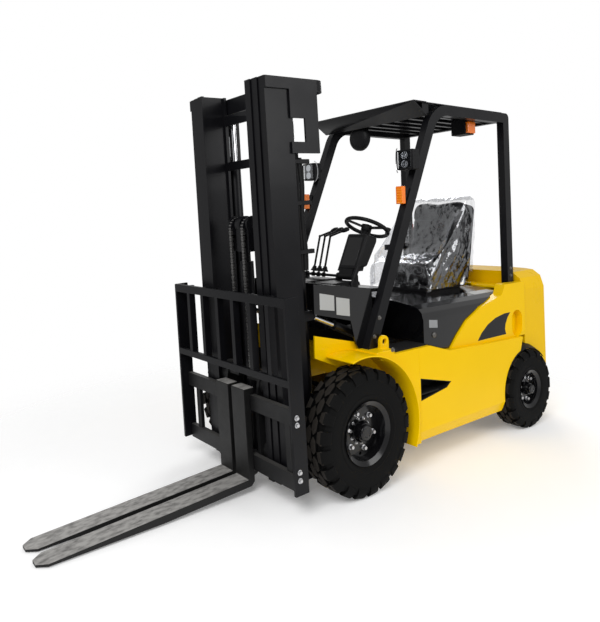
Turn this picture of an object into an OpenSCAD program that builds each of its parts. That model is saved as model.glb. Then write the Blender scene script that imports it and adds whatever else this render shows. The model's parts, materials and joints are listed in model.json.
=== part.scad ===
// Counterbalance forklift truck with a three-stage mast, standing as it parks
// Lengths in millimetres, X forward, Y to the truck's left, Z up, ground at zero

/* [Layout] */
// Distance between the front and the rear axle
wheelbase = 1590; // [1450:10:1750]
// Front axle centre to the front face of the fork shanks
fork_face = 482; // [460:1:520]
// Rear axle centre to the back of the counterweight
rear_overhang = 520; // [480:10:560]
// Forward lean of the parked mast in degrees
mast_lean = 2; // [0:0.5:4]
// Air kept between pieces that move past each other
run_gap = 5; // [4:0.5:8]
// Air kept at pins, rods and sliding faces
pin_gap = 0.5; // [0.3:0.1:1]

/* [Wheels] */
// Radius of the front tyres
front_r = 334; // [310:1:350]
// Width of the front tyres
front_w = 190; // [170:2:205]
// Half width of the truck over the front tyres
front_out = 575; // [560:1:600]
// Radius of the front wheel rims
front_rim = 158; // [150:1:170]
// Radius of the rear tyres
rear_r = 262; // [250:1:275]
// Width of the rear tyres
rear_w = 154; // [140:2:165]
// Half width of the truck over the rear tyres
rear_out = 570; // [560:1:590]
// Radius of the rear wheel rims
rear_rim = 118; // [110:1:130]
// Rear wheel centre to the kingpin it steers about
king_in = 120; // [110:2:130]
// Depth of the tread notches in the tyre shoulders
tread_d = 13; // [8:1:16]

/* [Mast] */
// Height of the mast rails above the ground with the forks down
mast_top = 2215; // [2100:5:2300]
// Lower end of the mast rails
mast_bottom = 105; // [95:5:140]
// Half width over the outer rails
mast_half = 362; // [355:1:366]
// Width of one rail
rail_w = 46; // [40:1:48]
// Front to back depth of a rail
rail_d = 178; // [165:1:185]
// Flange thickness of the rails
rail_t = 17; // [12:1:20]
// Front edge of the outer rails ahead of the front axle
rail_front = 396; // [390:1:400]
// Stroke of one lift stage
stage_stroke = 1550; // [1200:10:1560]
// Stroke of the free lift rod
free_stroke = 650; // [500:10:660]
// Radius of the lift cylinder tubes
lift_tube_r = 38; // [32:1:40]
// Radius of the lift rods
lift_rod_r = 22; // [18:1:26]
// Radius of the free lift tube
free_tube_r = 40; // [36:1:42]
// Height of the crosshead sheave centre with the forks down
sheave_z = 1440; // [1400:5:1480]
// Radius of the chain line on the crosshead sheaves
sheave_r = 55; // [50:1:58]
// Chain strands each side of the middle
chain_y = 58; // [54:1:64]
// Width of one chain
chain_w = 20; // [16:1:24]
// Pitch of the chain links
chain_pitch = 25.4; // [19:0.1:32]

/* [Carriage] */
// Half width over the load backrest
back_half = 540; // [500:5:560]
// Top of the load backrest
back_top = 1108; // [1050:2:1200]
// Bottom of the backrest side plates
back_low = 150; // [130:2:180]
// Top of the upper carriage bar
bar_top = 548; // [520:2:580]
// Height of one carriage bar
bar_h = 82; // [70:2:100]
// Thickness of the carriage bars
bar_t = 30; // [24:1:36]

/* [Forks] */
// Length of the fork blades
fork_len = 1115; // [900:5:1150]
// Width of one fork
fork_w = 120; // [100:2:130]
// Thickness of the forks
fork_t = 40; // [35:1:45]
// Top face of the fork blades in the mast
fork_top = 98; // [85:1:110]
// Top of the fork shanks
shank_top = 586; // [560:2:620]
// Inner face of each fork from the middle
fork_in = 17; // [15:1:25]
// Drop of the fork blades from heel to tip
fork_drop = 26; // [0:1:28]

/* [Frame] */
// Half width of the side tanks
tank_out = 540; // [520:5:560]
// Underside of the side tanks
tank_low = 165; // [150:5:200]
// Inner face of the frame side plates
plate_in = 364; // [363:0.5:366]
// Thickness of the frame side plates
plate_t = 10; // [8:1:12]
// Height of the floor plate
floor_z = 700; // [680:5:730]
// Radius of the front wheel arches
arch_r = 398; // [385:1:410]
// Thickness of the arch plates
arch_t = 8; // [6:1:12]

/* [Upper body] */
// Top of the bonnet along its middle
hood_top = 955; // [930:5:980]
// Front end of the bonnet behind the front axle
hood_front = 560; // [550:5:580]
// Rear end of the bonnet behind the front axle
hood_rear = 1500; // [1480:5:1520]
// Half width of the bonnet
hood_half = 496; // [485:1:500]
// Wall of the bonnet and the covers
shell_t = 12; // [8:1:16]
// Top of the counterweight
cw_top = 1045; // [1020:5:1080]
// Half width of the counterweight
cw_half = 500; // [480:5:520]
// Front end of the counterweight behind the front axle
cw_front = 1640; // [1620:5:1660]

/* [Overhead guard] */
// Top of the guard's side frames
guard_top = 2150; // [2100:5:2200]
// Half width over the guard
guard_half = 450; // [435:1:455]
// Section depth of the guard's legs
leg_w = 66; // [55:1:80]
// Section width of the guard's legs
leg_t = 50; // [40:1:60]
// Foot of the front pillar behind the front axle
pillar_foot = 175; // [160:5:190]
// Foot of the front pillar above the ground
pillar_z = 735; // [720:5:750]
// Bend of the front pillar behind the front axle
pillar_bend = 800; // [760:10:840]
// Rear leg behind the front axle
leg_x = 1572; // [1560:2:1580]
// Bend radius from the front pillar into the side rail
bend_r = 190; // [150:10:240]

/* [Tilt cylinders] */
// Mast eye ahead of the front axle in the upright mast
eye_x = 158; // [150:1:165]
// Mast eye above the ground in the upright mast
eye_z = 958; // [940:2:980]
// Chassis anchor behind the front axle
anchor_x = 540; // [500:5:560]
// Chassis anchor above the ground
anchor_z = 640; // [620:5:660]
// Radius of the tilt barrels
tilt_r = 26; // [22:1:28]
// Radius of the tilt rods
tilt_rod_r = 15; // [12:1:18]

/* [Hidden] */
$fn = 64;

pivot_z = front_r;
front_y = front_out - front_w / 2;
rear_y = rear_out - rear_w / 2;
king_y = rear_y - king_in;
rear_x = -wheelbase;
back_x = -(wheelbase + rear_overhang);
blade_tip = fork_face + fork_len;
tip_x = blade_tip * cos(mast_lean) + (fork_top - fork_drop - pivot_z) * sin(mast_lean);
mid_x = (tip_x + back_x) / 2;
front_in = front_out - front_w;
rail_len = mast_top - mast_bottom;
rail_back = rail_front - rail_d;
mid_out = mast_half - rail_w - run_gap;
inner_out = mid_out - rail_w - run_gap;
inner_in = inner_out - rail_w;
stagger = 7;
mid_front = rail_front + stagger;
mid_back = mid_front - rail_d + 3;
inner_front = mid_front + stagger;
inner_back = inner_front - rail_d + 6;
bar_x = fork_face - fork_t - pin_gap - bar_t;
bar_low = bar_top - 407;
lift_x = rail_back - lift_tube_r - 12;
lift_y = mid_out - rail_w / 2 - 16;
lift_tube_top = 1840;
free_x = inner_back + 76;
tilt_y = 330;
col_half = 80;
tip_x0 = -440;
tip_z0 = 1090;
tip_half = 59;
tip_pin = 9;
eye_half = 12;
steel = [0.12, 0.12, 0.13];
yellow = [0.96, 0.74, 0.05];
black = [0.07, 0.07, 0.08];
rubber = [0.05, 0.05, 0.05];
bright = [0.75, 0.76, 0.78];
grey = [0.35, 0.35, 0.36];

// Plate in the side view, from y0 outward by t
module xz(y0, t) {
  translate([0, y0 + t, 0]) rotate([90, 0, 0]) linear_extrude(t) children();
}

// Plate in the plan view, from z0 upward by t
module xy(z0, t) {
  translate([0, 0, z0]) linear_extrude(t) children();
}

// Plate in the end view, from x0 forward by t
module yz(x0, t) {
  translate([x0, 0, 0]) rotate([90, 0, 90]) linear_extrude(t) children();
}

// The same piece on both sides
module pair() {
  children();
  mirror([0, 1, 0]) children();
}

// Whole truck moved so that the frame's origin is under its middle
module place() {
  translate([-mid_x, 0, 0]) children();
}

// Mast pieces leaned about the front axle
module leaned() {
  place() translate([0, 0, pivot_z]) rotate([0, mast_lean, 0]) translate([0, 0, -pivot_z]) children();
}

// Flat bar between two points of a drawing
module strip(p, q, w) {
  d = q - p;
  translate(p) rotate(atan2(d[1], d[0])) translate([0, -w / 2]) square([norm(d), w]);
}

// Rectangle with round corners about its centre
module rrect(w, h, r) {
  square([w - 2 * r, h], center = true);
  square([w, h - 2 * r], center = true);
  for (sx = [-1, 1], sy = [-1, 1])
    translate([sx * (w / 2 - r), sy * (h / 2 - r)]) circle(r);
}

// Round bar along Y
module ybar(x, z, y0, y1, r) {
  translate([x, y1, z]) rotate([90, 0, 0]) cylinder(r = r, h = y1 - y0);
}

// Tyre about Z with notched shoulders
module tyre(r, w, rim, n) {
  h = r - rim;
  difference() {
    rotate_extrude($fn = 60) polygon([[rim, -w * 0.37], [rim + h * 0.22, -w * 0.47],
      [rim + h * 0.55, -w / 2], [r - h * 0.17, -w * 0.475], [r, -w * 0.40],
      [r, w * 0.40], [r - h * 0.17, w * 0.475], [rim + h * 0.55, w / 2],
      [rim + h * 0.22, w * 0.47], [rim, w * 0.37]]);
    for (i = [0 : n - 1], s = [-1, 1])
      rotate([0, 0, (i + s / 4) * 360 / n]) translate([r - tread_d, -r * 0.035, s > 0 ? w * 0.22 : -w])
        cube([r, r * 0.07, w * 0.78]);
  }
}

// Wheel rim about Z, its face towards plus Z
module rim(r, w, hub_r, bore_r, set) {
  difference() {
    rotate_extrude($fn = 60) polygon([[bore_r, -w * 0.30], [hub_r, -w * 0.30], [hub_r, set - 14],
      [r - 26, set - 14], [r - 14, set - 30], [r - 14, -w * 0.37], [r + 10, -w * 0.445],
      [r + 10, -w * 0.415], [r, -w * 0.37], [r, w * 0.37], [r + 10, w * 0.415], [r + 10, w * 0.445],
      [r - 14, w * 0.37], [r - 18, set], [hub_r, set], [hub_r, set + 16], [bore_r, set + 16]]);
    for (i = [0 : 5])
      rotate([0, 0, i * 60 + 30]) translate([hub_r + (r - hub_r) * 0.62, 0, set - 60])
        cylinder(r = 9, h = 120);
  }
  translate([0, 0, set + 16]) cylinder(r1 = hub_r * 0.92, r2 = hub_r * 0.78, h = 22);
}

// Axis of a wheel turned out to the left or right side
module wheel_at(x, y, z) {
  place() translate([x, y, z]) rotate([y > 0 ? -90 : 90, 0, 0]) children();
}

module front_rim_shape() {
  rim(front_rim, front_w, 62, 30 + pin_gap, 18);
}

module rear_rim_shape() {
  rim(rear_rim, rear_w, 48, 24 + pin_gap, 22);
}

module tyre_fl() color(rubber) wheel_at(0, front_y, front_r) tyre(front_r, front_w, front_rim, 20);
module tyre_fr() color(rubber) wheel_at(0, -front_y, front_r) tyre(front_r, front_w, front_rim, 20);
module rim_fl() color(black) wheel_at(0, front_y, front_r) front_rim_shape();
module rim_fr() color(black) wheel_at(0, -front_y, front_r) front_rim_shape();
module tyre_rl() color(rubber) wheel_at(rear_x, rear_y, rear_r) tyre(rear_r, rear_w, rear_rim, 18);
module tyre_rr() color(rubber) wheel_at(rear_x, -rear_y, rear_r) tyre(rear_r, rear_w, rear_rim, 18);
module rim_rl() color(black) wheel_at(rear_x, rear_y, rear_r) rear_rim_shape();
module rim_rr() color(black) wheel_at(rear_x, -rear_y, rear_r) rear_rim_shape();

// Drive axle with its middle casing and the bearing seats of the mast
axle_r = 62;
cross_z = 560;
module front_axle() color(black) place() {
  ybar(0, front_r, -front_in + 4, front_in - 4, axle_r);
  translate([0, 0, front_r]) sphere(r = 165, $fn = 40);
  pair() {
    ybar(0, front_r, front_in - 5, front_y + front_w * 0.08, 30);
    xz(plate_in - 114, 40) polygon([[-70, front_r - 30], [60, front_r - 30], [60, front_r + 66],
      [-190, cross_z], [-330, cross_z], [-330, cross_z - 40]]);
  }
  translate([-470, -90, front_r - 60]) cube([340, 180, 200]);
}

// Steered rear axle beam with a fork at each kingpin
yoke_h = 75;
yoke_t = 18;
module steer_axle() color(black) place() translate([rear_x, 0, rear_r]) {
  pair() {
    for (s = [-1, 1])
      xy(s * yoke_h - (s > 0 ? 0 : yoke_t), yoke_t) {
        translate([0, king_y]) circle(38);
        translate([-38, king_y - 150]) square([76, 150]);
      }
  }
  translate([-52, -king_y + 140, -yoke_h - yoke_t]) cube([104, 2 * king_y - 280, 2 * (yoke_h + yoke_t)]);
  translate([-75, -60, 0]) cube([150, 120, cross_z - rear_r]);
  for (s = [-1, 1])
    translate([0, s * king_y, -yoke_h - yoke_t]) cylinder(r = 18, h = 2 * (yoke_h + yoke_t));
}

// Steering knuckle, its boss on the kingpin and its spindle in the wheel
module knuckle() {
  difference() {
    union() {
      translate([0, 0, -yoke_h + run_gap]) cylinder(r = 33, h = 2 * (yoke_h - run_gap));
      ybar(0, 0, 0, king_in - rear_w * 0.30 - run_gap, 30);
      ybar(0, 0, king_in - rear_w * 0.30 - run_gap - 1, king_in + 20, 24);
    }
    translate([0, 0, -200]) cylinder(r = 18 + pin_gap, h = 400);
  }
}
module knuckle_left() color(black) place() translate([rear_x, king_y, rear_r]) knuckle();
module knuckle_right() color(black) place() translate([rear_x, -king_y, rear_r]) mirror([0, 1, 0]) knuckle();

// Welded frame: side plates, side tanks with step recesses, cross members
arch_in = plate_in + plate_t;
tank_front = 455;
tank_rear = 1306;
tank_top = 708;
fold_z = tank_low + 65;
fold_in = 25;
leg_foot = tank_top - 68;
sweep_r = norm([rear_r, king_in + rear_w * 0.40]) + 1.4 * run_gap;
recess = [[-tank_front - 8, tank_top - 174], [-tank_front - 8, tank_top - 304], [-705, tank_top - 270],
  [-748, tank_top - 241]];
recess_d = 110;
lining_t = 5;
// Line where the tanks meet the bonnet and the side covers
seam = [[-hood_front, tank_top], [-745, tank_top - 56], [-1080, tank_top - 71], [-1549, tank_top - 86]];
module frame_side() {
  xz(plate_in, plate_t) polygon([[185, 845], [185, 725], [-10, 640], [-90, front_r + axle_r + 20],
    [-150, tank_low + 120], [-tank_rear + 120, tank_low + 120], [-tank_rear + 60, 2 * rear_r + 14],
    [-1530, 2 * rear_r + 14], [-cw_front, cross_z],
    [-cw_front, tank_top - 5], [-hood_front + 60, tank_top - 5], [-300, 725], [-120, 770]]);
  difference() {
    union() {
      xz(arch_in, tank_out - arch_in) polygon(concat([[-tank_front, fold_z], [-tank_front, tank_top]], seam,
        [[-1523, tank_top - 157], [-1505, tank_top - 205], [-tank_rear - 18, fold_z]]));
      hull() {
        translate([-tank_rear - 17, arch_in, fold_z - 1])
          cube([tank_rear + 17 - tank_front, tank_out - arch_in, 2]);
        translate([-tank_rear, arch_in, tank_low])
          cube([tank_rear - tank_front, tank_out - arch_in - fold_in, 2]);
      }
    }
    xz(tank_out - recess_d, 200) polygon(recess);
    translate([rear_x, king_y, rear_r]) sphere(r = sweep_r, $fn = 48);
  }
  translate([-leg_x - leg_w / 2 - 5, arch_in - 1, leg_foot - 48])
    cube([leg_w + 10, guard_half - arch_in + 1, 48]);
}
module frame() color(yellow) place() {
  pair() frame_side();
  translate([-330, -plate_in - 1, cross_z]) cube([60, 2 * plate_in + 2, 130]);
  translate([-cw_front, -plate_in - 1, cross_z]) cube([130, 2 * plate_in + 2, 120]);
  for (x = [-1270, -760])
    translate([x, -plate_in - 1, engine_z - 60]) cube([60, 2 * plate_in + 2, 60]);
  pair() {
    xz(ear_in, ear_t) anchor_ear();
    xz(tilt_y + eye_half + pin_gap, plate_in - tilt_y - eye_half - pin_gap) anchor_ear();
    ybar(-anchor_x, anchor_z, ear_in, plate_in, tilt_pin);
    translate([-anchor_x - 60, ear_in, anchor_z - 125]) cube([90, plate_in - ear_in + 1, 20]);
  }
}
ear_t = 12;
ear_r = 30;
tilt_pin = 11;
ear_in = tilt_y - eye_half - pin_gap - ear_t;
module anchor_ear() {
  translate([-anchor_x, anchor_z]) circle(ear_r);
  translate([-anchor_x - 60, anchor_z - 110]) square([90, 110]);
}

// Front wheel arches with the lashing eyes
foot_z = pillar_z;
lug_x = -232;
lug_z = 772;
lug_r = 16;
module fender() {
  difference() {
    xz(arch_in, front_out - arch_in) difference() {
      translate([0, front_r]) circle(arch_r + arch_t);
      translate([0, front_r]) circle(arch_r);
      translate([0, front_r]) polygon([[900, -900], [-tank_front - 400, -900], [-400, -tank_low - 8],
        [0, 0], [140, 500], [900, 900]]);
      translate([-tank_front - 1000, 0]) square([1000, 2000]);
    }
  }
  xz(arch_in, tank_out - arch_in) difference() {
    polygon([[-tank_front, tank_low], [-tank_front, tank_top], [-250, tank_top], [-250, foot_z],
      [-105, foot_z], [-105, 640], [-arch_r, front_r], [-arch_r, tank_low]]);
    translate([0, front_r]) circle(arch_r + arch_t - 1);
  }
  xz(front_y - 14, 20) difference() {
    union() {
      translate([lug_x, lug_z]) circle(34);
      translate([lug_x - 34, tank_top - 40]) square([68, lug_z - tank_top + 40]);
    }
    translate([lug_x, lug_z]) circle(lug_r);
  }
}
module fenders() color(yellow) place() pair() fender();

// Treads and linings of the step recesses, and the entry mats on the tanks
module steps() color(rubber) place() pair() {
  xz(tank_out - recess_d, 9) polygon(recess);
  xz(tank_out - recess_d, recess_d - 2) difference() {
    polygon(recess);
    offset(delta = -lining_t) polygon(recess);
  }
  translate([-640, tank_out - recess_d + 9, tank_top - 274]) cube([640 - tank_front - 10, recess_d - 17, 8]);
  translate([-hood_front + run_gap, arch_in, tank_top]) cube([hood_front - run_gap + lug_x - 36, 140, 8]);
}

// Floor plate between the tilt cylinders, with the raised toe board
floor_half = 290;
cowl_low = 840;
module floor_plate() color(black) place() {
  translate([-hood_front + run_gap, -floor_half, cross_z + 130])
    cube([hood_front - run_gap - 245, 2 * floor_half, 20]);
  xz(-floor_half, 2 * floor_half) polygon([[-255, cross_z + 130], [-240, cross_z + 130], [-190, cowl_low],
    [-205, cowl_low]]);
}

// Front cowl, its middle kept behind the sweep of the mast
cowl_half = guard_half - leg_t;
cowl_back = -235;
cowl_front = 5;
function cowl_z(x) = 1062 + (x - cowl_back) * 33 / (cowl_front - cowl_back);
module cowl() color(black) place() {
  xz(-floor_half, 2 * floor_half) difference() {
    polygon([[cowl_front, 1095], [cowl_front, cowl_low], [-205, cowl_low], [cowl_back, 1040],
      [cowl_back, 1062]]);
    polygon([[cowl_front - 12, 1080], [cowl_front - 12, cowl_low + 12], [-195, cowl_low + 12],
      [cowl_back + 14, 1040]]);
  }
  pair() {
    xz(cowl_half - 10, 10) polygon([[205, 1122], [205, 965], [60, 930], [-60, 900], [-95, 765],
      [-120, foot_z], [cowl_back, foot_z], [cowl_back, 1062]]);
    xz(floor_half - 1, cowl_half - floor_half - 8) polygon([[cowl_front, 1095], [cowl_front, 1075],
      [cowl_back, 1042], [cowl_back, 1062]]);
  }
  xz(col_half + 32, cowl_half - col_half - 36) polygon([[cowl_back + 1, 1062], [cowl_back + 1, 1042],
    [-405, 1034], [-400, 1051]]);
}

// Steering column and its wheel
col_ang = 28;
col_x = -575;
col_z = 1275;
wheel_up = 140;
module console() color(black) place() {
  xz(-col_half, 2 * col_half) polygon([[-205, cowl_low], [cowl_back, 1040], [cowl_back, 1066], [-400, 1066],
    [-470, 1060], [-480, 1035], [-440, 960], [-330, cowl_low]]);
  pair() xz(tip_half + 3, col_half - tip_half - 3) tip_ear(22);
  ybar(tip_x0, tip_z0, -cowl_half + 22, col_half, tip_pin);
}
module tip_ear(r) {
  translate([tip_x0, tip_z0]) circle(r);
  translate([tip_x0 - r, tip_z0 - 34]) square([2 * r, 34]);
}
// Steering column, tipped forward on its pin before the bonnet is opened
module column() color(black) place() {
  difference() {
    union() {
      xz(-tip_half, 2 * tip_half) {
        translate([tip_x0, tip_z0]) circle(22);
        polygon([[tip_x0 - 22, tip_z0], [tip_x0 + 22, tip_z0], [-436, 1140], [-512, 1140]]);
      }
      xz(-col_half, 2 * col_half) polygon([[-437, 1124], [-548, 1355], [-588, 1338], [-506, 1124]]);
      translate([col_x, 0, col_z]) rotate([0, -col_ang, 0]) cylinder(r = 26, h = wheel_up - 28);
    }
    ybar(tip_x0, tip_z0, -cowl_half, col_half + 10, tip_pin + pin_gap);
  }
}
wheel_big = 140;
wheel_tube = 13;
module steering_wheel() color(black) place() translate([col_x, 0, col_z]) rotate([0, -col_ang, 0]) {
  translate([0, 0, wheel_up]) rotate_extrude($fn = 48) translate([wheel_big, 0]) circle(wheel_tube, $fn = 16);
  translate([0, 0, wheel_up - 28]) cylinder(r = 34, h = 30);
  for (a = [90, 210, 330])
    rotate([0, 0, a]) translate([20, -11, wheel_up - 10]) cube([wheel_big - 22, 22, 10]);
  rotate([0, 0, 150]) translate([wheel_big, 0, wheel_up + 4]) cylinder(r1 = 11, r2 = 19, h = 46);
}

// Lift, tilt and shift levers on their box, pedals and the parking brake handle
lever_y = 215;
lever_step = 52;
box_z = 1064;
module bent_lever(y) {
  translate([tip_x0, y, tip_z0]) difference() {
    rotate([0, -15.8, 0]) {
      translate([0, 8, 0]) rotate([90, 0, 0]) cylinder(r = 15, h = 16);
      cylinder(r = 7, h = 265);
      translate([0, 0, 265]) sphere(r = 9, $fn = 24);
      translate([0, 0, 265]) rotate([0, -59.8, 0]) {
        cylinder(r = 7, h = 140);
        translate([0, 0, 132]) cylinder(r1 = 10, r2 = 15, h = 42);
      }
    }
    ybar(0, 0, -20, 20, tip_pin + pin_gap);
  }
}
module levers() color(black) place() {
  for (i = [0 : 2])
    bent_lever(-lever_y - i * lever_step);
}
module controls() color(black) place() {
  xz(-cowl_half + 14, 216) polygon([[cowl_back, 1062], [-515, box_z], [-515, box_z - 38], [-400, 960],
    [cowl_back, 945]]);
  xz(-cowl_half + 14, 8) tip_ear(20);
  for (y = [60, 190])
    translate([-330, y, cross_z + 150]) rotate([0, -55, 0]) cube([120, 70, 10]);
  translate([-330, -170, cross_z + 150]) rotate([0, -50, 0]) cube([170, 70, 10]);
  translate([-380, 90, 1030]) rotate([0, -30, 0]) cylinder(r = 10, h = 150);
}

// Bonnet shell, hinged at its rear edge and carrying the seat
hinge_x = -(hood_rear + 6);
hinge_z = hood_top + 8;
hinge_y = 130;
cover_in = 440;
side_out = 508;
side_top = hood_top + 31;
module hood_section(cut) {
  h = hood_half - cut;
  polygon([[-h, 500], [-h, hood_top - 105], [-h + 10, hood_top - 67], [-h + 34, hood_top - 43],
    [-h + 80, hood_top - 25 - cut], [-180, hood_top - cut], [180, hood_top - cut],
    [h - 80, hood_top - 25 - cut], [h - 34, hood_top - 43], [h - 10, hood_top - 67],
    [h, hood_top - 105], [h, 500]]);
}
// Edge where the bonnet meets the yellow side covers
cover_edge = [[-798, tank_top - 58], [-866, tank_top + 8], [-970, hood_top - 155], [-1120, hood_top - 89],
  [-1265, hood_top - 56], [-1365, hood_top - 33], [-1400, side_top]];
module hood() color(black) place() {
  difference() {
    yz(-hood_rear, hood_rear - hood_front) hood_section(0);
    yz(-hood_rear + shell_t, hood_rear - hood_front - 2 * shell_t) hood_section(shell_t);
    xz(-hood_half - 1, 2 * hood_half + 2) translate([0, run_gap])
      polygon(concat([[-hood_front + 1, 400], [-hood_front + 1, tank_top]], seam, [[-1549, 400]]));
    pair() xz(cover_in - run_gap, 100) translate([run_gap, run_gap])
      polygon(concat(cover_edge, [[-hood_rear - 20, side_top], [-hood_rear - 20, 400], [-798, 400]]));
    translate([-hood_rear - 1, -hood_half, 400]) cube([30, 2 * hood_half, hood_top - 440]);
  }
  pair() hinge_leaf(hinge_y, 30, 1, -hood_rear + 60);
}
// Hinge leaf with its knuckle, reaching from the pin to x1
module hinge_leaf(y, w, bored, x1) {
  xz(y, w) difference() {
    union() {
      translate([hinge_x, hinge_z]) circle(9, $fn = 32);
      translate([min(hinge_x, x1), hood_top]) square([abs(x1 - hinge_x), 8]);
    }
    if (bored > 0)
      translate([hinge_x, hinge_z]) circle(5, $fn = 32);
  }
}

// Cover over the radiator behind the bonnet, with the fixed hinge leaves
module radiator_cover() color(yellow) place() {
  difference() {
    translate([cover_x, -cowl_half + 4, tank_top])
      cube([-cover_x - hood_rear - 12, 2 * cowl_half - 8, hood_top - tank_top]);
    translate([cover_x - 1, -cowl_half + 16, tank_top - 20])
      cube([-cover_x - hood_rear + 20, 2 * cowl_half - 32, hood_top - tank_top + 8]);
  }
  pair() {
    hinge_leaf(hinge_y + 31, 30, 0, -hood_rear - 60);
    ybar(hinge_x, hinge_z, hinge_y - 1, hinge_y + 45, 4.5);
  }
}

// Seat on the bonnet with its leaned back shell and one armrest
seat_x = -1166;
seat_len = 412;
seat_half = 240;
pan_h = 42;
back_ang = 10.6;
shell_x = seat_x - seat_len / 2 - 4;
shell_z = hood_top + pan_h - 12;
back_h = 560;
module seat_base() color(black) place() {
  translate([seat_x - 190, -200, hood_top]) cube([380, 400, pan_h]);
  translate([shell_x, 0, shell_z]) rotate([0, -back_ang, 0]) {
    yz(-38, 38) translate([0, back_h / 2]) rrect(450, back_h, 50);
    mirror([0, 1, 0]) {
      translate([-30, 224, 240]) cube([30, 30, 44]);
      translate([-30, 250, 240]) rotate([0, back_ang, 0]) cube([320, 36, 40]);
    }
  }
  translate([shell_x - 40, -120, hood_top]) cube([50, 240, pan_h]);
}
module seat_cushion() color(grey) place() translate([seat_x, 0, hood_top + pan_h]) {
  xy(0, 118) rrect(seat_len, 2 * seat_half, 60);
}
module seat_back() color(grey) place() translate([shell_x, 0, shell_z]) rotate([0, -back_ang, 0]) {
  yz(0, 92) translate([0, 148 + 220]) rrect(2 * seat_half, 440, 75);
}

// Yellow side covers behind the bonnet, with a grip hole each
module side_covers() color(yellow) place() pair() difference() {
  xz(cover_in, side_out - cover_in) polygon(concat(cover_edge, [[-cw_front + 3, side_top],
    [-cw_front + 3, tank_top - 86], [-1549, tank_top - 86], [-1080, tank_top - 71]]));
  translate([-cw_front, 0, 500]) cube([cw_front - leg_x + leg_w / 2 + 6, guard_half + 1, 700]);
  xz(side_out - 46, 60) translate([-1537, tank_top + 4]) rrect(126, 178, 60);
}

// Cast counterweight with wheel arches and lifting holes
lift_hole_r = 21;
lift_hole_x = back_x + 270;
cover_x = -cw_front - 60;
cw_side = back_x + 180;
cw_turn = back_x + 65;
cw_round = 116;
module cw_plan(front, cut) {
  h = cw_half - cut;
  polygon([[front, -h], [front, h], [cw_side, h - 10], [cw_turn + 0.7 * cut, h - 125 + 0.3 * cut],
    [back_x + cut, h - 290 + 0.6 * cut], [back_x + cut, -h + 290 - 0.6 * cut],
    [cw_turn + 0.7 * cut, -h + 125 - 0.3 * cut], [cw_side, -h + 10]]);
}
module counterweight() color(yellow) place() {
  difference() {
    union() {
      xy(180, cw_top - 180 - cw_round) cw_plan(-cw_front, 0);
      hull() {
        xy(cw_top - cw_round - 1, 1) cw_plan(-cw_front, 0);
        xy(cw_top - 40, 1) cw_plan(-cw_front, 24);
      }
      hull() {
        xy(cw_top - 40, 1) cw_plan(-cw_front, 24);
        xy(cw_top - 1, 1) cw_plan(-cw_front, 78);
      }
    }
    for (s = [-1, 1])
      translate([rear_x, s * king_y, rear_r]) sphere(r = sweep_r, $fn = 48);
    translate([cw_side, -330, 100]) cube([400, 660, cross_z - 95]);
    translate([cw_side - 5, -230, cross_z]) cube([400, 460, 330]);
    translate([back_x - 10, -190, 600]) cube([300, 380, 250]);
    translate([back_x - 10, -55, 400]) cube([130, 110, 90]);
    translate([back_x + 62, 0, 300]) cylinder(r = 16 + pin_gap, h = 250);
    for (s = [-1, 1])
      translate([lift_hole_x, s * 300, cw_top - 100]) cylinder(r = lift_hole_r, h = 200);
    translate([cover_x, -cowl_half, tank_top]) cube([-cover_x - cw_front + 60, 2 * cowl_half, 400]);
  }
}

// Radiator grille in the counterweight's rear opening
module grille() color(black) place() {
  for (i = [0 : 7])
    translate([back_x + 30, -190, 606 + i * 31]) cube([26, 380, 14]);
  for (y = [-190, -70, 58, 178])
    translate([back_x + 40, y, 600]) cube([12, 12, 250]);
}

// Drawbar pin
module tow_pin() color(bright) place() {
  translate([back_x + 62, 0, 330]) cylinder(r = 16, h = 200);
}

// Overhead guard with bent side frames, front visor, header and roof bars
bend_z = guard_top - leg_w / 2;
bend_ang = atan2(bend_z - pillar_z, pillar_bend - pillar_foot);
bend_t = bend_r * tan(bend_ang / 2);
visor_x = -600;
visor_t = 8;
pillar_k = (pillar_bend - pillar_foot) / (bend_z - pillar_z);
function pillar_f(z) = -pillar_foot - (z - pillar_z) * pillar_k + leg_w / 2 * sqrt(1 + pillar_k * pillar_k);
bend_mid = [-pillar_bend - bend_t, bend_z - bend_r];
pillar_wide = leg_w * sqrt(1 + pillar_k * pillar_k);
function ring(mid, r, a0, a1, n) =
  [for (i = [0 : n]) let (a = a0 + (a1 - a0) * i / n) mid + r * [cos(a), sin(a)]];
module guard_side() {
  xz(guard_half - leg_t, leg_t) polygon(concat(
    [[pillar_f(pillar_z), pillar_z]],
    ring(bend_mid, bend_r + leg_w / 2, 90 - bend_ang, 90, 14),
    ring([-leg_x, bend_z], leg_w / 2, 90, 180, 8),
    [[-leg_x - leg_w / 2, leg_foot], [-leg_x + leg_w / 2, leg_foot]],
    [[-leg_x + leg_w / 2, bend_z - leg_w / 2]],
    ring(bend_mid, bend_r - leg_w / 2, 90, 90 - bend_ang, 14),
    [[pillar_f(pillar_z) - pillar_wide, pillar_z]]));
}
module overhead_guard() color(black) place() {
  pair() guard_side();
  translate([-755, -guard_half + 20, guard_top - 62]) cube([60, 2 * guard_half - 40, 62]);
  translate([-leg_x - 20, -guard_half + 20, guard_top - 55]) cube([40, 2 * guard_half - 40, 50]);
  for (i = [0 : 5])
    translate([-leg_x, -300 + i * 114, guard_top - 45]) cube([leg_x - 740, 30, 40]);
  xz(-guard_half + 6, 2 * guard_half - 12) {
    strip([visor_x, guard_top + visor_t / 2], [-720, guard_top + visor_t / 2], visor_t);
    strip([visor_x + 3, guard_top + visor_t / 2], [-722, guard_top - 76], visor_t);
  }
}

// Clear rain panel on the guard
module roof_panel() color([0.8, 0.85, 0.88]) place() {
  translate([-1540, -guard_half + 10, guard_top]) cube([819, 2 * guard_half - 20, 6]);
}

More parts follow.
